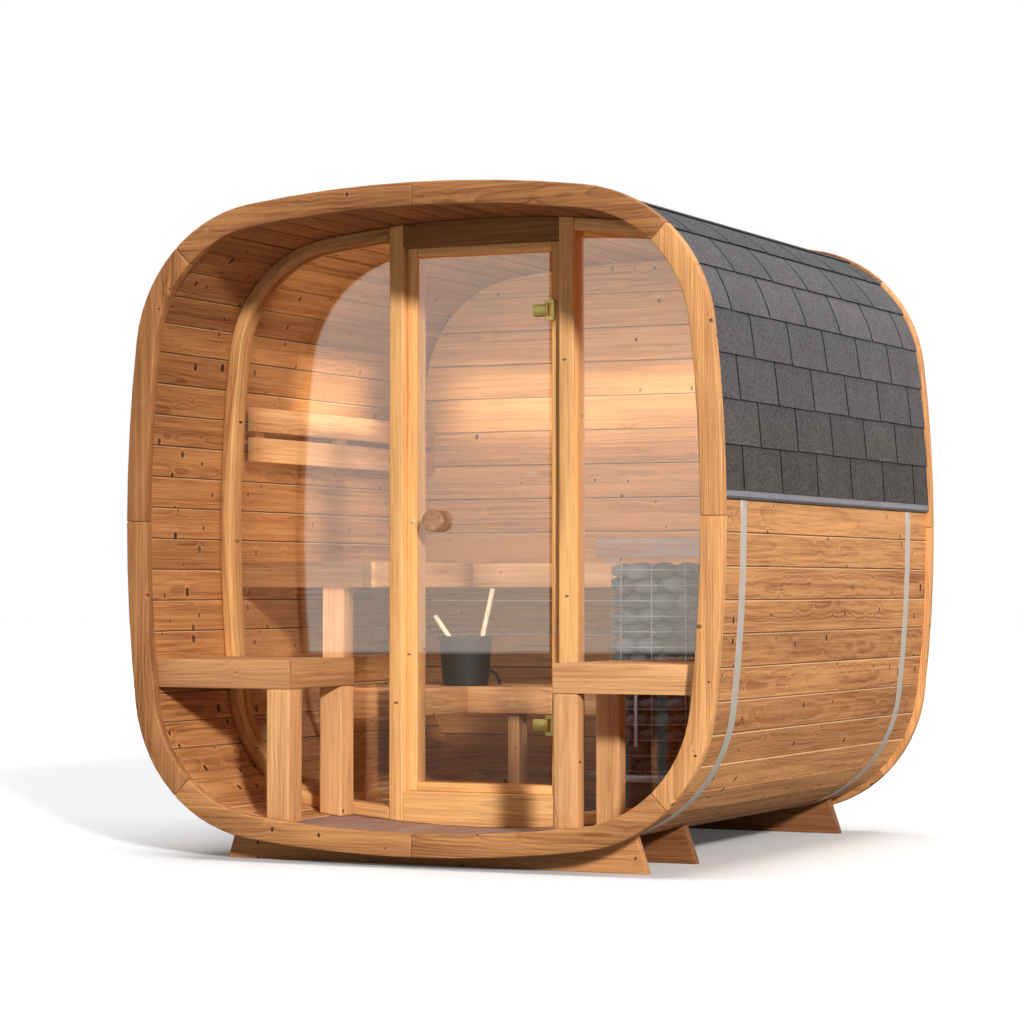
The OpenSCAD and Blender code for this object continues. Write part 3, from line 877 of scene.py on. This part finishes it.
class SAUNA_OT_shingles(bpy.types.Operator):
    """Lay rows of shingles from both eaves to the crown, and cap the crown"""

    bl_idname = "sauna.shingles"
    bl_label = "Shingles"

    def execute(self, context):
        roof = context.scene.sauna_roof
        outline = Outline(context.scene.sauna_shell)
        eave = outline.at_height(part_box("roofing_right")[0].z)
        clear, narrowest = 0.001, 0.03
        low_y, high_y = WALL_LOW.y + clear, WALL_HIGH.y - clear
        shades = random.Random(31)
        felt = bmesh.new()
        rows = math.ceil((outline.quarter - eave) / roof.exposure)
        for mirrored in (False, True):
            for row in range(rows):
                begin = eave + row * roof.exposure
                length = min(roof.exposure + roof.headlap, outline.quarter - begin)
                if length < roof.headlap:
                    continue
                first = RING_LOW.y + roof.first_slot + (row % 2) * roof.stagger - roof.tab
                slots = [first + i * roof.tab for i in range(8)]
                slots = [y for y in slots if low_y + narrowest < y < high_y - narrowest]
                for near, far in zip([low_y, *slots], [*slots, high_y]):
                    tab = self.tab(length, far - near - roof.slot, roof.thickness)
                    shift = shades.uniform(-0.0012, 0.0012)
                    for vert in tab.verts:
                        run = vert.co.x + length / 2
                        depth = -roof.lift + vert.co.z + roof.thickness * run / roof.exposure
                        vert.co.y += (near + far) / 2
                        outline.put(vert, begin + shift + run, depth)
                    if mirrored:
                        whole = tab.verts[:] + tab.edges[:] + tab.faces[:]
                        bmesh.ops.mirror(tab, geom=whole, axis="X", merge_dist=-1)
                        right = [vert for vert in tab.verts if vert.co.x > 0]
                        bmesh.ops.delete(tab, geom=right, context="VERTS")
                    # Painted sheen: the rows' tone rises to a peak about a third of the way up the roof
                    # and falls to dark towards the crown.
                    share = (row + 0.5) / rows
                    shade = max(0.2, min(share + 0.3, 1.42 - 2.2 * share))
                    self.lay(felt, tab, shade + shades.uniform(-0.04, 0.04))
        self.caps(felt, outline, roof, shades, low_y, high_y)
        replaced = ["roofing_left", "roofing_top", "roofing_right"]
        finished("shingles", felt, shingle_felt(), replaced)
        self.underlay(outline, eave, low_y, high_y)
        return {"FINISHED"}

    def tab(self, length, width, thickness):
        """One flat tab, cut across so that it can bend, with its narrow sides marked for painted shade."""
        tab = block((length, width, thickness))
        bmesh.ops.subdivide_edges(tab, edges=edges_along(tab, 0, length), cuts=5, use_grid_fill=True)
        edge = tab.faces.layers.float.new("edge")
        tab.normal_update()
        # Mark the narrow sides, which the felt paints near black as shade.
        for face in tab.faces:
            face[edge] = float(abs(face.normal.z) < 0.5)
        return tab

    def lay(self, felt, tab, shade):
        """Store the tab's tone and add it to the others."""
        outward(tab)
        tone = tab.verts.layers.float.new("tone")
        for vert in tab.verts:
            vert[tone] = shade
        join(felt, tab)

    def caps(self, felt, outline, roof, shades, low_y, high_y):
        """Lay caps over the crown from front to back."""
        count = round((high_y - low_y) / roof.exposure)
        pitch = (high_y - low_y) / count
        thickness = roof.thickness * 0.8
        over_rows = 0.0045
        for i in range(count):
            near = low_y + i * pitch
            reach = min(pitch + roof.headlap, high_y - near)
            cap = self.tab(roof.cap, reach, thickness)
            for vert in cap.verts:
                lap = (vert.co.y + reach / 2) / pitch
                depth = -roof.lift - over_rows - vert.co.z + thickness * (lap - 0.5)
                vert.co.y += near + reach / 2
                outline.put(vert, outline.quarter + vert.co.x, depth)
            # The caps take the dark tone of the top rows: painted shade over the crown.
            self.lay(felt, cap, 0.2 + shades.uniform(-0.04, 0.04))

    def underlay(self, outline, eave, low_y, high_y):
        """The sheet that shows as a dark line in the slots: its near-black finish is painted shade."""
        proud, thickness = 0.0035, 0.003
        sheet = bmesh.new()
        around = 2 * (outline.quarter - eave)
        bmesh.ops.create_grid(sheet, x_segments=60, y_segments=1, size=0.5)
        for vert in sheet.verts:
            vert.co.y = low_y + (vert.co.y + 0.5) * (high_y - low_y)
            outline.put(vert, eave + (vert.co.x + 0.5) * around, -proud)
        outward(sheet)
        bmesh.ops.solidify(sheet, geom=sheet.faces[:], thickness=thickness)
        outward(sheet)
        finished("underlay", sheet, slot_shade_felt())


class SAUNA_OT_trim(bpy.types.Operator):
    """Fold the eave strips and finish the steel hoops"""

    bl_idname = "sauna.trim"
    bl_label = "Eave strips and hoops"

    def execute(self, context):
        outline = Outline(context.scene.sauna_shell)
        shades = colour(150, 146, 150), colour(112, 108, 114)
        steel = metal("eave metal", *shades, 0.42, 0.55, (1, 0.05, 1), 90)
        finished("eave_strip_metal", self.strips(outline), steel, ["eave_strips"])
        shades = colour(222, 210, 196), colour(186, 174, 160)
        band = metal("hoop steel", *shades, 0.45, 0.35, (1, 8, 1), 30)
        finished("hoop_bands", soften(copy_of("hoops"), 0.0006, 1), band, ["hoops"])
        return {"FINISHED"}

    def strips(self, outline):
        """Two folded strips: tucked under the felt above, rolled to a drip edge below."""
        thickness = 0.0012
        low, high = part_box("eave_strips")
        reach = high.x - outline.at(0)[0].x
        top = outline.at_height(high.z)
        bottom = outline.at_height(low.z)
        fold = (
            (top + 0.004, 0.0045),
            (top - 0.001, reach - 0.003),
            (bottom + 0.013, reach - 0.0015),
            (bottom + 0.009, reach - 0.0006),
            (bottom + 0.005, reach - 0.002),
            (bottom + 0.001, reach - 0.005),
            (bottom + 0.001, 0.0015),
        )
        strips = bmesh.new()
        for side in (1, -1):
            points = [outline.at(length, -out)[0] for length, out in fold]
            path = [strips.verts.new((side * point.x, low.y, point.z)) for point in points]
            edges = [strips.edges.new(pair) for pair in zip(path, path[1:])]
            made = bmesh.ops.extrude_edge_only(strips, edges=edges)["geom"]
            far = [item for item in made if isinstance(item, bmesh.types.BMVert)]
            bmesh.ops.translate(strips, vec=(0, high.y - low.y, 0), verts=far)
        outward(strips)
        for face in strips.faces:
            face.normal_update()
            if face.normal.x * face.calc_center_median().x < 0:
                face.normal_flip()
        bmesh.ops.solidify(strips, geom=strips.faces[:], thickness=thickness)
        outward(strips)
        return strips


class SAUNA_OT_feet(bpy.types.Operator):
    """Round the edges of the three feet"""

    bl_idname = "sauna.feet"
    bl_label = "Feet"

    def execute(self, context):
        # The middle and rear feet, under the body, get tones near 2: painted shade.
        feet = (("foot_front", 0), ("foot_middle", 1.9), ("foot_rear", 1.8))
        for seed, (node, tone) in enumerate(feet, 40):
            tones = (tone, tone + 0.2)
            softened(node + "_board", node, "foot", seed, 0.003, tones=tones)
        return {"FINISHED"}


class SAUNA_OT_back_wall(bpy.types.Operator):
    """Cut the back wall into level boards"""

    bl_idname = "sauna.back_wall"
    bl_label = "Back wall"

    def execute(self, context):
        shell = context.scene.sauna_shell
        low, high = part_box("back_wall")
        timber = Timber(50, (0, 0.8), painted_chamfer_light=True)
        hidden, least = 0.03, 0.02
        height = low.z - hidden
        while height < high.z - least:
            under = height + shell.joint / 2
            height += shell.back_board
            board = carve("back_wall", (None, None, under), (None, None, height - shell.joint / 2))
            timber.lay(soften(board, shell.chamfer, 1), along=0)
        finished("back_wall_boards", timber.whole, wood("lining"), ["back_wall"])
        return {"FINISHED"}


class SAUNA_OT_front_frame(bpy.types.Operator):
    """Round the posts, jambs, rails and battens that hold the front glass"""

    bl_idname = "sauna.front_frame"
    bl_label = "Front frame"

    def execute(self, context):
        outline = Outline(context.scene.sauna_shell)
        # The left batten is darker than the right: painted shade.
        for seed, node, name, tone in (
            (70, "battens_left", "left_batten_strips", 1.2),
            (71, "battens_right", "right_batten_strips", 0.5),
        ):
            timber = Timber(seed)
            timber.bend(soften(copy_of(node), 0.009, 3), outline, tone)
            finished(name, timber.whole, wood("joinery"), [node])
        post = context.scene.sauna_timber.rounding
        board = 0.004
        # The header's tone of 2.2 darkens it as painted shade under the porch roof.
        pieces = (
            ("door_post_left", "left_door_post", post, 0.3),
            ("door_post_right", "right_door_post", post, 0.3),
            ("door_jambs", "jamb_boards", board, 0.3),
            ("door_rails", "rail_boards", board, 0.4),
            ("door_header", "header_board", board, 2.2),
            ("door_sill", "sill_board", board, 0.4),
        )
        for seed, (node, name, width, tone) in enumerate(pieces, 60):
            softened(name, node, "joinery", seed, width, 3, (tone - 0.15, tone + 0.15))
        return {"FINISHED"}


class SAUNA_OT_glass(bpy.types.Operator):
    """Polish the edges of the panes"""

    bl_idname = "sauna.glass"
    bl_label = "Panes"

    def execute(self, context):
        glass = pane_glass()
        for node, name, body in (
            ("glass_left", "left_pane", CABIN),
            ("glass_right", "right_pane", CABIN),
            ("door_glass", "door_pane", DOOR),
        ):
            finished(name, soften(copy_of(node), 0.001, 1), glass, [node], body, smooth=20)
        return {"FINISHED"}


class SAUNA_OT_fittings(bpy.types.Operator):
    """Turn the door knobs and finish the hinges and the ball catch"""

    bl_idname = "sauna.fittings"
    bl_label = "Door fittings"

    def execute(self, context):
        self.knob("outer_knob", 80, -1)
        self.knob("inner_knob", 81, 1)
        brass = metal("hinge brass", colour(222, 204, 120), colour(186, 164, 84), 0.32, 0.7)
        clamps = soften(copy_of("hinge_clamps"), 0.0015)
        finished("clamp_brass", clamps, brass, ["hinge_clamps"], DOOR, smooth=35)
        leaves = soften(copy_of("hinge_leaves"), 0.0008, 1)
        finished("leaf_brass", leaves, brass, ["hinge_leaves"], smooth=35)
        self.screws(brass)
        self.catch()
        return {"FINISHED"}

    def knob(self, node, seed, way):
        """A turned knob whose neck meets the glass, outside with way -1 and inside with 1."""
        low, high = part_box(node)
        radius = (high.x - low.x) / 2
        depth = high.y - low.y
        neck = 0.014
        knob = turned((
            (0, 0), (neck, 0), (neck, neck * 0.8), (radius * 0.72, neck), (radius * 0.94, neck * 1.15),
            (radius, neck * 1.5), (radius, depth * 0.62), (radius * 0.965, depth * 0.645),
            (radius, depth * 0.67), (radius * 0.985, depth * 0.9), (radius * 0.93, depth * 0.975),
            (radius * 0.8, depth), (radius * 0.3, depth * 0.985), (0, depth * 0.985),
        ))
        foot = (low + high) / 2
        foot.y = low.y if way > 0 else high.y
        timber = Timber(seed)
        turn = Matrix.Rotation(-way * math.pi / 2, 4, "X")
        timber.lay(knob, Matrix.Translation(foot) @ turn, along=2)
        finished(node + "_turning", timber.whole, wood("knob"), [node], DOOR)

    def screws(self, brass):
        """Two flat screw heads on the outer plate of each clamp."""
        low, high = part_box("hinge_clamps")
        plate_thickness, half_clamp, sunk, proud = 0.01, 0.0205, 0.0005, 0.001
        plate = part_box("door_glass")[0].y - plate_thickness
        widest, narrowest = 0.0042, 0.0036
        screws = bmesh.new()
        for z in (low.z + half_clamp, high.z - half_clamp):
            for x in (low.x + 0.013, low.x + 0.034):
                head = rod((x, plate + sunk, z), (x, plate - proud, z), widest, 16, narrowest)
                join(screws, head)
        finished("clamp_screws", screws, brass, body=DOOR)

    def catch(self):
        """The round cap of the ball catch."""
        low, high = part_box("ball_catch")
        radius = (high.x - low.x) / 2
        length = high.y - low.y
        shoulder = (radius * 0.8, length * 0.95)
        cap = turned(((0, 0), (radius, 0), (radius, length * 0.7), shoulder, (0, length)), 24)
        foot = (low + high) / 2
        foot.y = high.y
        moved(cap, Matrix.Translation(foot) @ Matrix.Rotation(math.pi / 2, 4, "X"))
        white = coated("catch plastic", colour(226, 224, 220), colour(204, 201, 196), 0.4)
        finished("catch_cap", cap, white, ["ball_catch"])


class Bench:
    """A bench in the making: boards cut out of one CAD node, a hair apart."""

    joint = 0.0004

    def __init__(self, node, seed, tones):
        look = bpy.context.scene.sauna_timber
        self.node = node
        self.thick = look.seat
        self.edge = look.seat_rounding
        self.timber = Timber(seed, tones)

    def cut(self, along, low=(None, None, None), high=(None, None, None)):
        """Cut one board out of the node, with its grain along an axis."""
        self.timber.lay(soften(carve(self.node, low, high), self.edge, 3), along=along)

    def seat(self, start, end, across, wanted, gap):
        """Cut the seat between two corners into boards side by side, of about a wanted width."""
        span = end[across] - start[across]
        count = max(1, round(span / wanted))
        width = (span + gap) / count
        for i in range(count):
            low = [start[0], start[1], end[2] - self.thick]
            high = [end[0], end[1], None]
            low[across] = start[across] + i * width
            high[across] = start[across] + (i + 1) * width - gap
            if i == 0:
                low[across] += 0.0002
            self.cut(1 - across, low, high)
        finished(self.node + "_boards", self.timber.whole, wood("bench"), [self.node])


class SAUNA_OT_porch_benches(bpy.types.Operator):
    """Make the porch benches board by board, with their posts"""

    bl_idname = "sauna.porch_benches"
    bl_label = "Porch benches"

    def execute(self, context):
        # The left bench is darker than the right: painted shade.
        for seed, side, tones in ((90, "left", (1.1, 1.4)), (91, "right", (0.2, 0.6))):
            node, post = f"porch_bench_{side}", f"porch_posts_{side}"
            low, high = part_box(node)
            bench = Bench(node, seed, tones)
            back = low.y + bench.thick
            behind = back + bench.joint
            bench.cut(0, (None, low.y, None), (None, back, None))
            if side == "left":
                bench.cut(1, (high.x - bench.thick, behind, None))
                start, end = (None, behind), (high.x - bench.thick - bench.joint, high.y, high.z)
            else:
                bench.cut(1, (None, behind, None), (low.x + bench.thick, None, None))
                start, end = (low.x + bench.thick + bench.joint, behind), (None, high.y, high.z)
            bench.seat(start, end, 1, 0.116, 0.004)
            softened(post + "_timber", post, "bench", seed + 4, 0.009, 4)
        return {"FINISHED"}


class SAUNA_OT_inner_benches(bpy.types.Operator):
    """Make the inner benches board by board, with their legs and posts"""

    bl_idname = "sauna.inner_benches"
    bl_label = "Inner benches"

    def execute(self, context):
        # Tones over 1 darken the inner benches as painted shade.
        upper, lower = (1.2, 1.5), (0.9, 1.2)
        for seed, node, across, tones in (
            (100, "upper_bench_left", 0, upper),
            (101, "upper_bench_back", 1, upper),
            (102, "lower_bench_left", 0, lower),
            (103, "lower_bench_back", 1, lower),
        ):
            low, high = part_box(node)
            bench = Bench(node, seed, tones)
            back, side = low.y + bench.thick, high.x - bench.thick
            start, end = [None, back + bench.joint], [None, None, high.z]
            if across:
                bench.cut(0, (None, low.y, None), (None, back, None))
                end[1] = high.y
                if node == "lower_bench_back":
                    start[0] = low.x + bench.thick + bench.joint
                    bench.cut(1, (None, back + bench.joint, None), (low.x + bench.thick, None, None))
            else:
                bench.cut(1, (side, None, None))
                bench.cut(0, high=(side - bench.joint, back, None))
                start[0], end[0] = low.x, side - bench.joint
            bench.seat(start, end, across, 0.098, 0.012)
        # The posts' tones near 2 darken them as painted shade.
        for seed, node, tones in ((110, "bench_legs", (0.4, 0.8)), (111, "bench_posts", (1.7, 1.9))):
            softened(node + "_timber", node, "bench", seed, 0.004, 3, tones)
        return {"FINISHED"}


class SAUNA_OT_backrest(bpy.types.Operator):
    """Round the backrest's boards and battens, and the guard board over the bench"""

    bl_idname = "sauna.backrest"
    bl_label = "Backrest and guard"

    def execute(self, context):
        softened("backrest_slats", "backrest_boards", "bench", 120, 0.004, 3)
        softened("backrest_blocks", "backrest_battens", "bench", 121, 0.003)
        softened("guard_board", "heater_guard", "guard", 122, 0.003)
        return {"FINISHED"}


class SAUNA_OT_heater(bpy.types.Operator):
    """Pile the stones in their wire basket, on a tray and a stand"""

    bl_idname = "sauna.heater"
    bl_label = "Heater"

    def execute(self, context):
        look = context.scene.sauna_heater
        low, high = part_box("heater_column")
        middle = (low + high) / 2
        radius = (high.x - low.x) / 2
        self.pile(look, low, high, middle, radius)
        self.basket(look, low, high, middle, radius)
        self.stand(look)
        return {"FINISHED"}

    def pile(self, look, low, high, middle, radius):
        """Layers of stones in a ring round a core, with a few more on top."""
        shades = random.Random(130)
        pile = bmesh.new()
        layers = int((high.z - low.z) / look.layer)
        headroom, behind_wires, core_depth = 0.008, 0.0035, 0.05
        pitch = (high.z - low.z - headroom) / (layers + 0.1)
        limit = radius - behind_wires
        for layer in range(layers):
            rings = [(radius - look.stone * 0.4, 9)]
            if layer == layers - 1:
                rings.append((radius * 0.3, 4))
            for reach, count in rings:
                for i in range(count):
                    angle = 2 * math.pi * (i + 0.5 * (layer % 2) + shades.uniform(-0.12, 0.12)) / count
                    drop = shades.uniform(-0.004, 0.004)
                    place = Vector((math.cos(angle) * reach, math.sin(angle) * reach, drop))
                    place += Vector((middle.x, middle.y, low.z + pitch * (layer + 0.55)))
                    width = look.stone * shades.uniform(0.85, 1.1)
                    stone = self.stone(width, look.layer * shades.uniform(1.0, 1.25), shades)
                    turn = Matrix.Rotation(angle + shades.uniform(-0.3, 0.3), 4, "Z")
                    moved(stone, Matrix.Translation(place) @ turn)
                    tone = stone.verts.layers.float.new("tone")
                    shade = shades.random()
                    for vert in stone.verts:
                        vert[tone] = shade
                        out = Vector((vert.co.x - middle.x, vert.co.y - middle.y))
                        if out.length > limit:
                            out *= limit / out.length
                            vert.co.x = middle.x + out.x
                            vert.co.y = middle.y + out.y
                        vert.co.z = min(max(vert.co.z, low.z), high.z)
                    join(pile, stone)
        foot, top = (middle.x, middle.y, low.z), (middle.x, middle.y, high.z - core_depth)
        join(pile, rod(foot, top, radius * 0.5, 24))
        finished("heater_stones", pile, stone_finish(), ["heater_column"], smooth=75)

    def stone(self, width, height, shades):
        """A split stone, flattened and knocked out of round."""
        stone = bmesh.new()
        bmesh.ops.create_icosphere(stone, subdivisions=2, radius=0.5)
        shift = Vector([shades.uniform(0, 50) for _ in range(3)])
        for vert in stone.verts:
            vert.co *= 1 + 0.22 * noise.noise(vert.co * 3 + shift)
        bmesh.ops.scale(stone, vec=(width * 0.86, width, height), verts=stone.verts)
        return stone

    def basket(self, look, low, high, middle, radius):
        """Level rings, upright wires and the front bar of the basket."""
        wires = bmesh.new()
        foot = 0.012
        count = int((high.z - low.z - foot) / look.wire_pitch)
        for i in range(count + 1):
            lift = Matrix.Translation((middle.x, middle.y, low.z + foot + i * look.wire_pitch))
            join(wires, moved(hoop_wire(radius - look.wire, look.wire), lift))
        uprights = 8
        for i in range(uprights):
            angle = 2 * math.pi * (i + 0.35) / uprights
            x = middle.x + math.cos(angle) * (radius - 3 * look.wire)
            y = middle.y + math.sin(angle) * (radius - 3 * look.wire)
            join(wires, rod((x, y, low.z + 0.002), (x, y, high.z - 0.004), look.wire, 6))
        place = Matrix.Translation((middle.x - 0.012, middle.y - radius + 0.0015, low.z + 0.185))
        join(wires, moved(block((0.011, 0.003, 0.18)), place))
        steel = metal("basket steel", colour(190, 188, 190), colour(140, 138, 142), 0.3, 0.8)
        finished("heater_basket", wires, steel)

    def stand(self, look):
        """The tray with its rolled rim and pointed knobs, and the dark pedestal."""
        low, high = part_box("heater_stand")
        plate = carve("heater_stand", (None, None, high.z - look.tray))
        steel = metal("tray steel", colour(196, 194, 200), colour(158, 156, 164), 0.35, 0.6)
        finished("heater_tray", soften(plate, 0.003, 3), steel)
        pedestal = carve("heater_stand", high=(None, None, high.z - look.tray - 0.0005))
        dark = coated("pedestal enamel", colour(52, 40, 34), colour(74, 58, 50), 0.45)
        finished("heater_pedestal", soften(pedestal, 0.004), dark, ["heater_stand"])
        knobs = bmesh.new()
        for offset in (-0.035, 0.012):
            x, y = (low.x + high.x) / 2 + offset, low.y + 0.012
            join(knobs, rod((x, y, high.z + 0.0005), (x, y, high.z + 0.02), 0.011, 16, 0.003))
        black = coated("knob plastic", colour(34, 30, 30), colour(48, 44, 44), 0.4)
        finished("heater_knobs", knobs, black)


class SAUNA_OT_pail(bpy.types.Operator):
    """Make the pail with its rim and loop, and the ladles that stand in it"""

    bl_idname = "sauna.pail"
    bl_label = "Pail and ladles"

    def execute(self, context):
        low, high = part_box("pail")
        radius = (high.y - low.y) / 2
        middle = Vector((low.x + radius, (low.y + high.y) / 2, low.z))
        height = high.z - low.z
        wall = 0.005
        foot = radius * 0.832
        pail = turned((
            (0, 0), (foot - 0.004, 0), (foot, 0.003), (foot + 0.0042, height * 0.22),
            (radius - 0.006, height * 0.86), (radius - 0.0035, height - 0.012), (radius, height - 0.010),
            (radius, height - 0.002), (radius - 0.002, height), (radius - wall, height),
            (radius - wall - 0.001, height - 0.01), (foot - wall, wall), (0, wall),
        ), 56)
        moved(pail, Matrix.Translation(middle))
        join(pail, moved(self.loop(), Matrix.Translation(middle + Vector((foot + 0.002, 0, 0.006)))))
        dark = coated("pail enamel", colour(20, 17, 15), colour(30, 26, 24), 0.5)
        finished("pail_shell", pail, dark, ["pail"])
        softened("ladle_turning", "ladles", "ladle", 141, 0.002)
        return {"FINISHED"}

    def loop(self):
        """A quarter of a ring that stands out from the pail's foot."""
        bend, bar = 0.052, 0.0058
        loop = bmesh.new()
        bmesh.ops.create_circle(loop, segments=12, radius=bar)
        moved(loop, Matrix.Translation((bend, 0, 0)))
        bmesh.ops.spin(
            loop, geom=loop.verts[:] + loop.edges[:], cent=(0, 0, 0), axis=(0, -1, 0),
            angle=math.pi / 2, steps=14,
        )
        close(loop)
        outward(loop)
        return loop


# ---- Stage ----


class SAUNA_OT_stage(bpy.types.Operator):
    """Set the floor, the camera, the lamps and the world"""

    bl_idname = "sauna.stage"
    bl_label = "Stage"

    def execute(self, context):
        look = context.scene.sauna_stage
        context.scene.view_settings.view_transform = "Standard"
        self.floor(look)
        self.camera(context.scene)
        self.sun("key light", look.key, 42, 20, 5)
        self.sun("side light", look.side, 125, 32, 20)
        self.sun("top light", look.top, 0, 86, 50)
        self.room(look)
        self.world(context.scene, look)
        return {"FINISHED"}

    def add(self, name, data, place, turn):
        """Put a lamp, a camera or a floor in the scene."""
        thing = bpy.data.objects.new(name, data)
        thing.location = place
        thing.rotation_euler = turn
        bpy.context.scene.collection.objects.link(thing)
        return thing

    def floor(self, look):
        """A pale floor that looks white to the camera where it is lit, and keeps the shadow."""
        plane = bmesh.new()
        bmesh.ops.create_grid(plane, x_segments=1, y_segments=1, size=60)
        mesh = bpy.data.meshes.new("floor")
        plane.to_mesh(mesh)
        plane.free()
        floor = self.add("floor", mesh, (0, 0, 0), (0, 0, 0))
        floor.visible_glossy = False
        finish = Finish(bpy.data.materials.new("pale floor"))
        seen = finish.node("ShaderNodeLightPath", None, None, "Is Camera Ray")
        mesh.materials.append(finish.surface(
            Base_Color=finish.mix(seen, (0.3, 0.3, 0.3), tuple(look.floor)),
            Roughness=0.9,
            Emission_Color=finish.mix(seen, (0, 0, 0), (0.05, 0.05, 0.05)),
            Emission_Strength=1.0,
        ))

    def camera(self, scene):
        """A long lens from the front right, a little under the cabin's half height."""
        lens = bpy.data.cameras.new("camera")
        lens.lens = 109.64
        lens.clip_end = 200
        turn = (math.pi / 2 + 0.0247, 0, 0.4402)
        scene.camera = self.add("camera", lens, (4.6773, -10.2442, 0.9204), turn)

    def sun(self, name, strength, azimuth, elevation, spread):
        """A soft sun. Azimuth is measured from the front towards the right."""
        sun = bpy.data.lights.new(name, "SUN")
        sun.energy = strength
        sun.angle = math.radians(spread)
        side, up = math.radians(azimuth), math.radians(elevation)
        away = Vector((math.sin(side) * math.cos(up), -math.cos(side) * math.cos(up), math.sin(up)))
        self.add(name, sun, (0, 0, 0), away.to_track_quat("Z", "Y").to_euler())

    def room(self, look):
        """Lamps behind the front glass: a broad one, and two narrow ones that draw a band of light."""
        behind = Vector((0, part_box("battens_left")[1].y + 0.03, 0))
        for name, strength, wide, tall, spread, place, turn in (
            ("room light", look.room, 1.6, 1.6, 180, (0, 0, 1.38), 0),
            ("back glow", look.glow, 1.7, 0.1, 16, (0, 0, 1.65), 0),
            ("left glow", look.glow * 0.5, 0.5, 0.1, 18, (0.05, 0.45, 1.66), 1.35),
        ):
            light = bpy.data.lights.new(name, "AREA")
            light.energy = strength
            light.shape = "RECTANGLE"
            light.size = wide
            light.size_y = tall
            light.spread = math.radians(spread)
            light.color = (0.95, 1, 1)
            lamp = self.add(name, light, behind + Vector(place), (math.pi / 2, 0, turn))
            lamp.visible_camera = False
            lamp.visible_glossy = False
            lamp.visible_transmission = False

    def world(self, scene, look):
        """White to the eye and in reflections above the ground, and a plain level of light."""
        scene.world = bpy.data.worlds.new("studio")
        finish = Finish(scene.world)
        height = finish.split(finish.node("ShaderNodeTexCoord"))[2]
        above = finish.clamp((height + 0.021) * 700)
        path = finish.node("ShaderNodeLightPath").socket.node.outputs
        camera, glossy, through = (
            Field(finish, path[key]) for key in ("Is Camera Ray", "Is Glossy Ray", "Is Transmission Ray")
        )
        mirrored = glossy * (above * 0.88 + 0.12)
        direct = finish.clamp(camera + through)
        strength = direct + (1 - direct) * (mirrored + (1 - glossy) * look.sky)
        light = finish.node("ShaderNodeBackground", None, {"Color": (1, 1, 1), "Strength": strength})
        finish.node("ShaderNodeOutputWorld", None, {"Surface": light})


PIECES = (
    SAUNA_OT_stage,
    SAUNA_OT_shell,
    SAUNA_OT_rings,
    SAUNA_OT_shingles,
    SAUNA_OT_trim,
    SAUNA_OT_feet,
    SAUNA_OT_back_wall,
    SAUNA_OT_front_frame,
    SAUNA_OT_glass,
    SAUNA_OT_fittings,
    SAUNA_OT_porch_benches,
    SAUNA_OT_inner_benches,
    SAUNA_OT_backrest,
    SAUNA_OT_heater,
    SAUNA_OT_pail,
)


class SAUNA_PT_panel(bpy.types.Panel):
    """Settings, and a button for each group of pieces"""

    bl_idname = "SAUNA_PT_panel"
    bl_label = "Cube sauna"
    bl_space_type = "VIEW_3D"
    bl_region_type = "UI"
    bl_category = "Sauna"

    def draw(self, context):
        for name, group in SETTINGS.items():
            box = self.layout.box()
            box.label(text=group.__doc__)
            for field in group.__annotations__:
                box.prop(getattr(context.scene, name), field)
        for piece in PIECES:
            self.layout.operator(piece.bl_idname)


def register():
    for name, group in SETTINGS.items():
        bpy.utils.register_class(group)
        setattr(bpy.types.Scene, name, bpy.props.PointerProperty(type=group))
    for piece in (*PIECES, SAUNA_PT_panel):
        bpy.utils.register_class(piece)


def unregister():
    for piece in (SAUNA_PT_panel, *reversed(PIECES)):
        bpy.utils.unregister_class(piece)
    for name, group in reversed(SETTINGS.items()):
        delattr(bpy.types.Scene, name)
        bpy.utils.unregister_class(group)


def main():
    register()
    for piece in PIECES:
        group, name = piece.bl_idname.split(".")
        getattr(getattr(bpy.ops, group), name)()


if __name__ == "__main__":
    main()
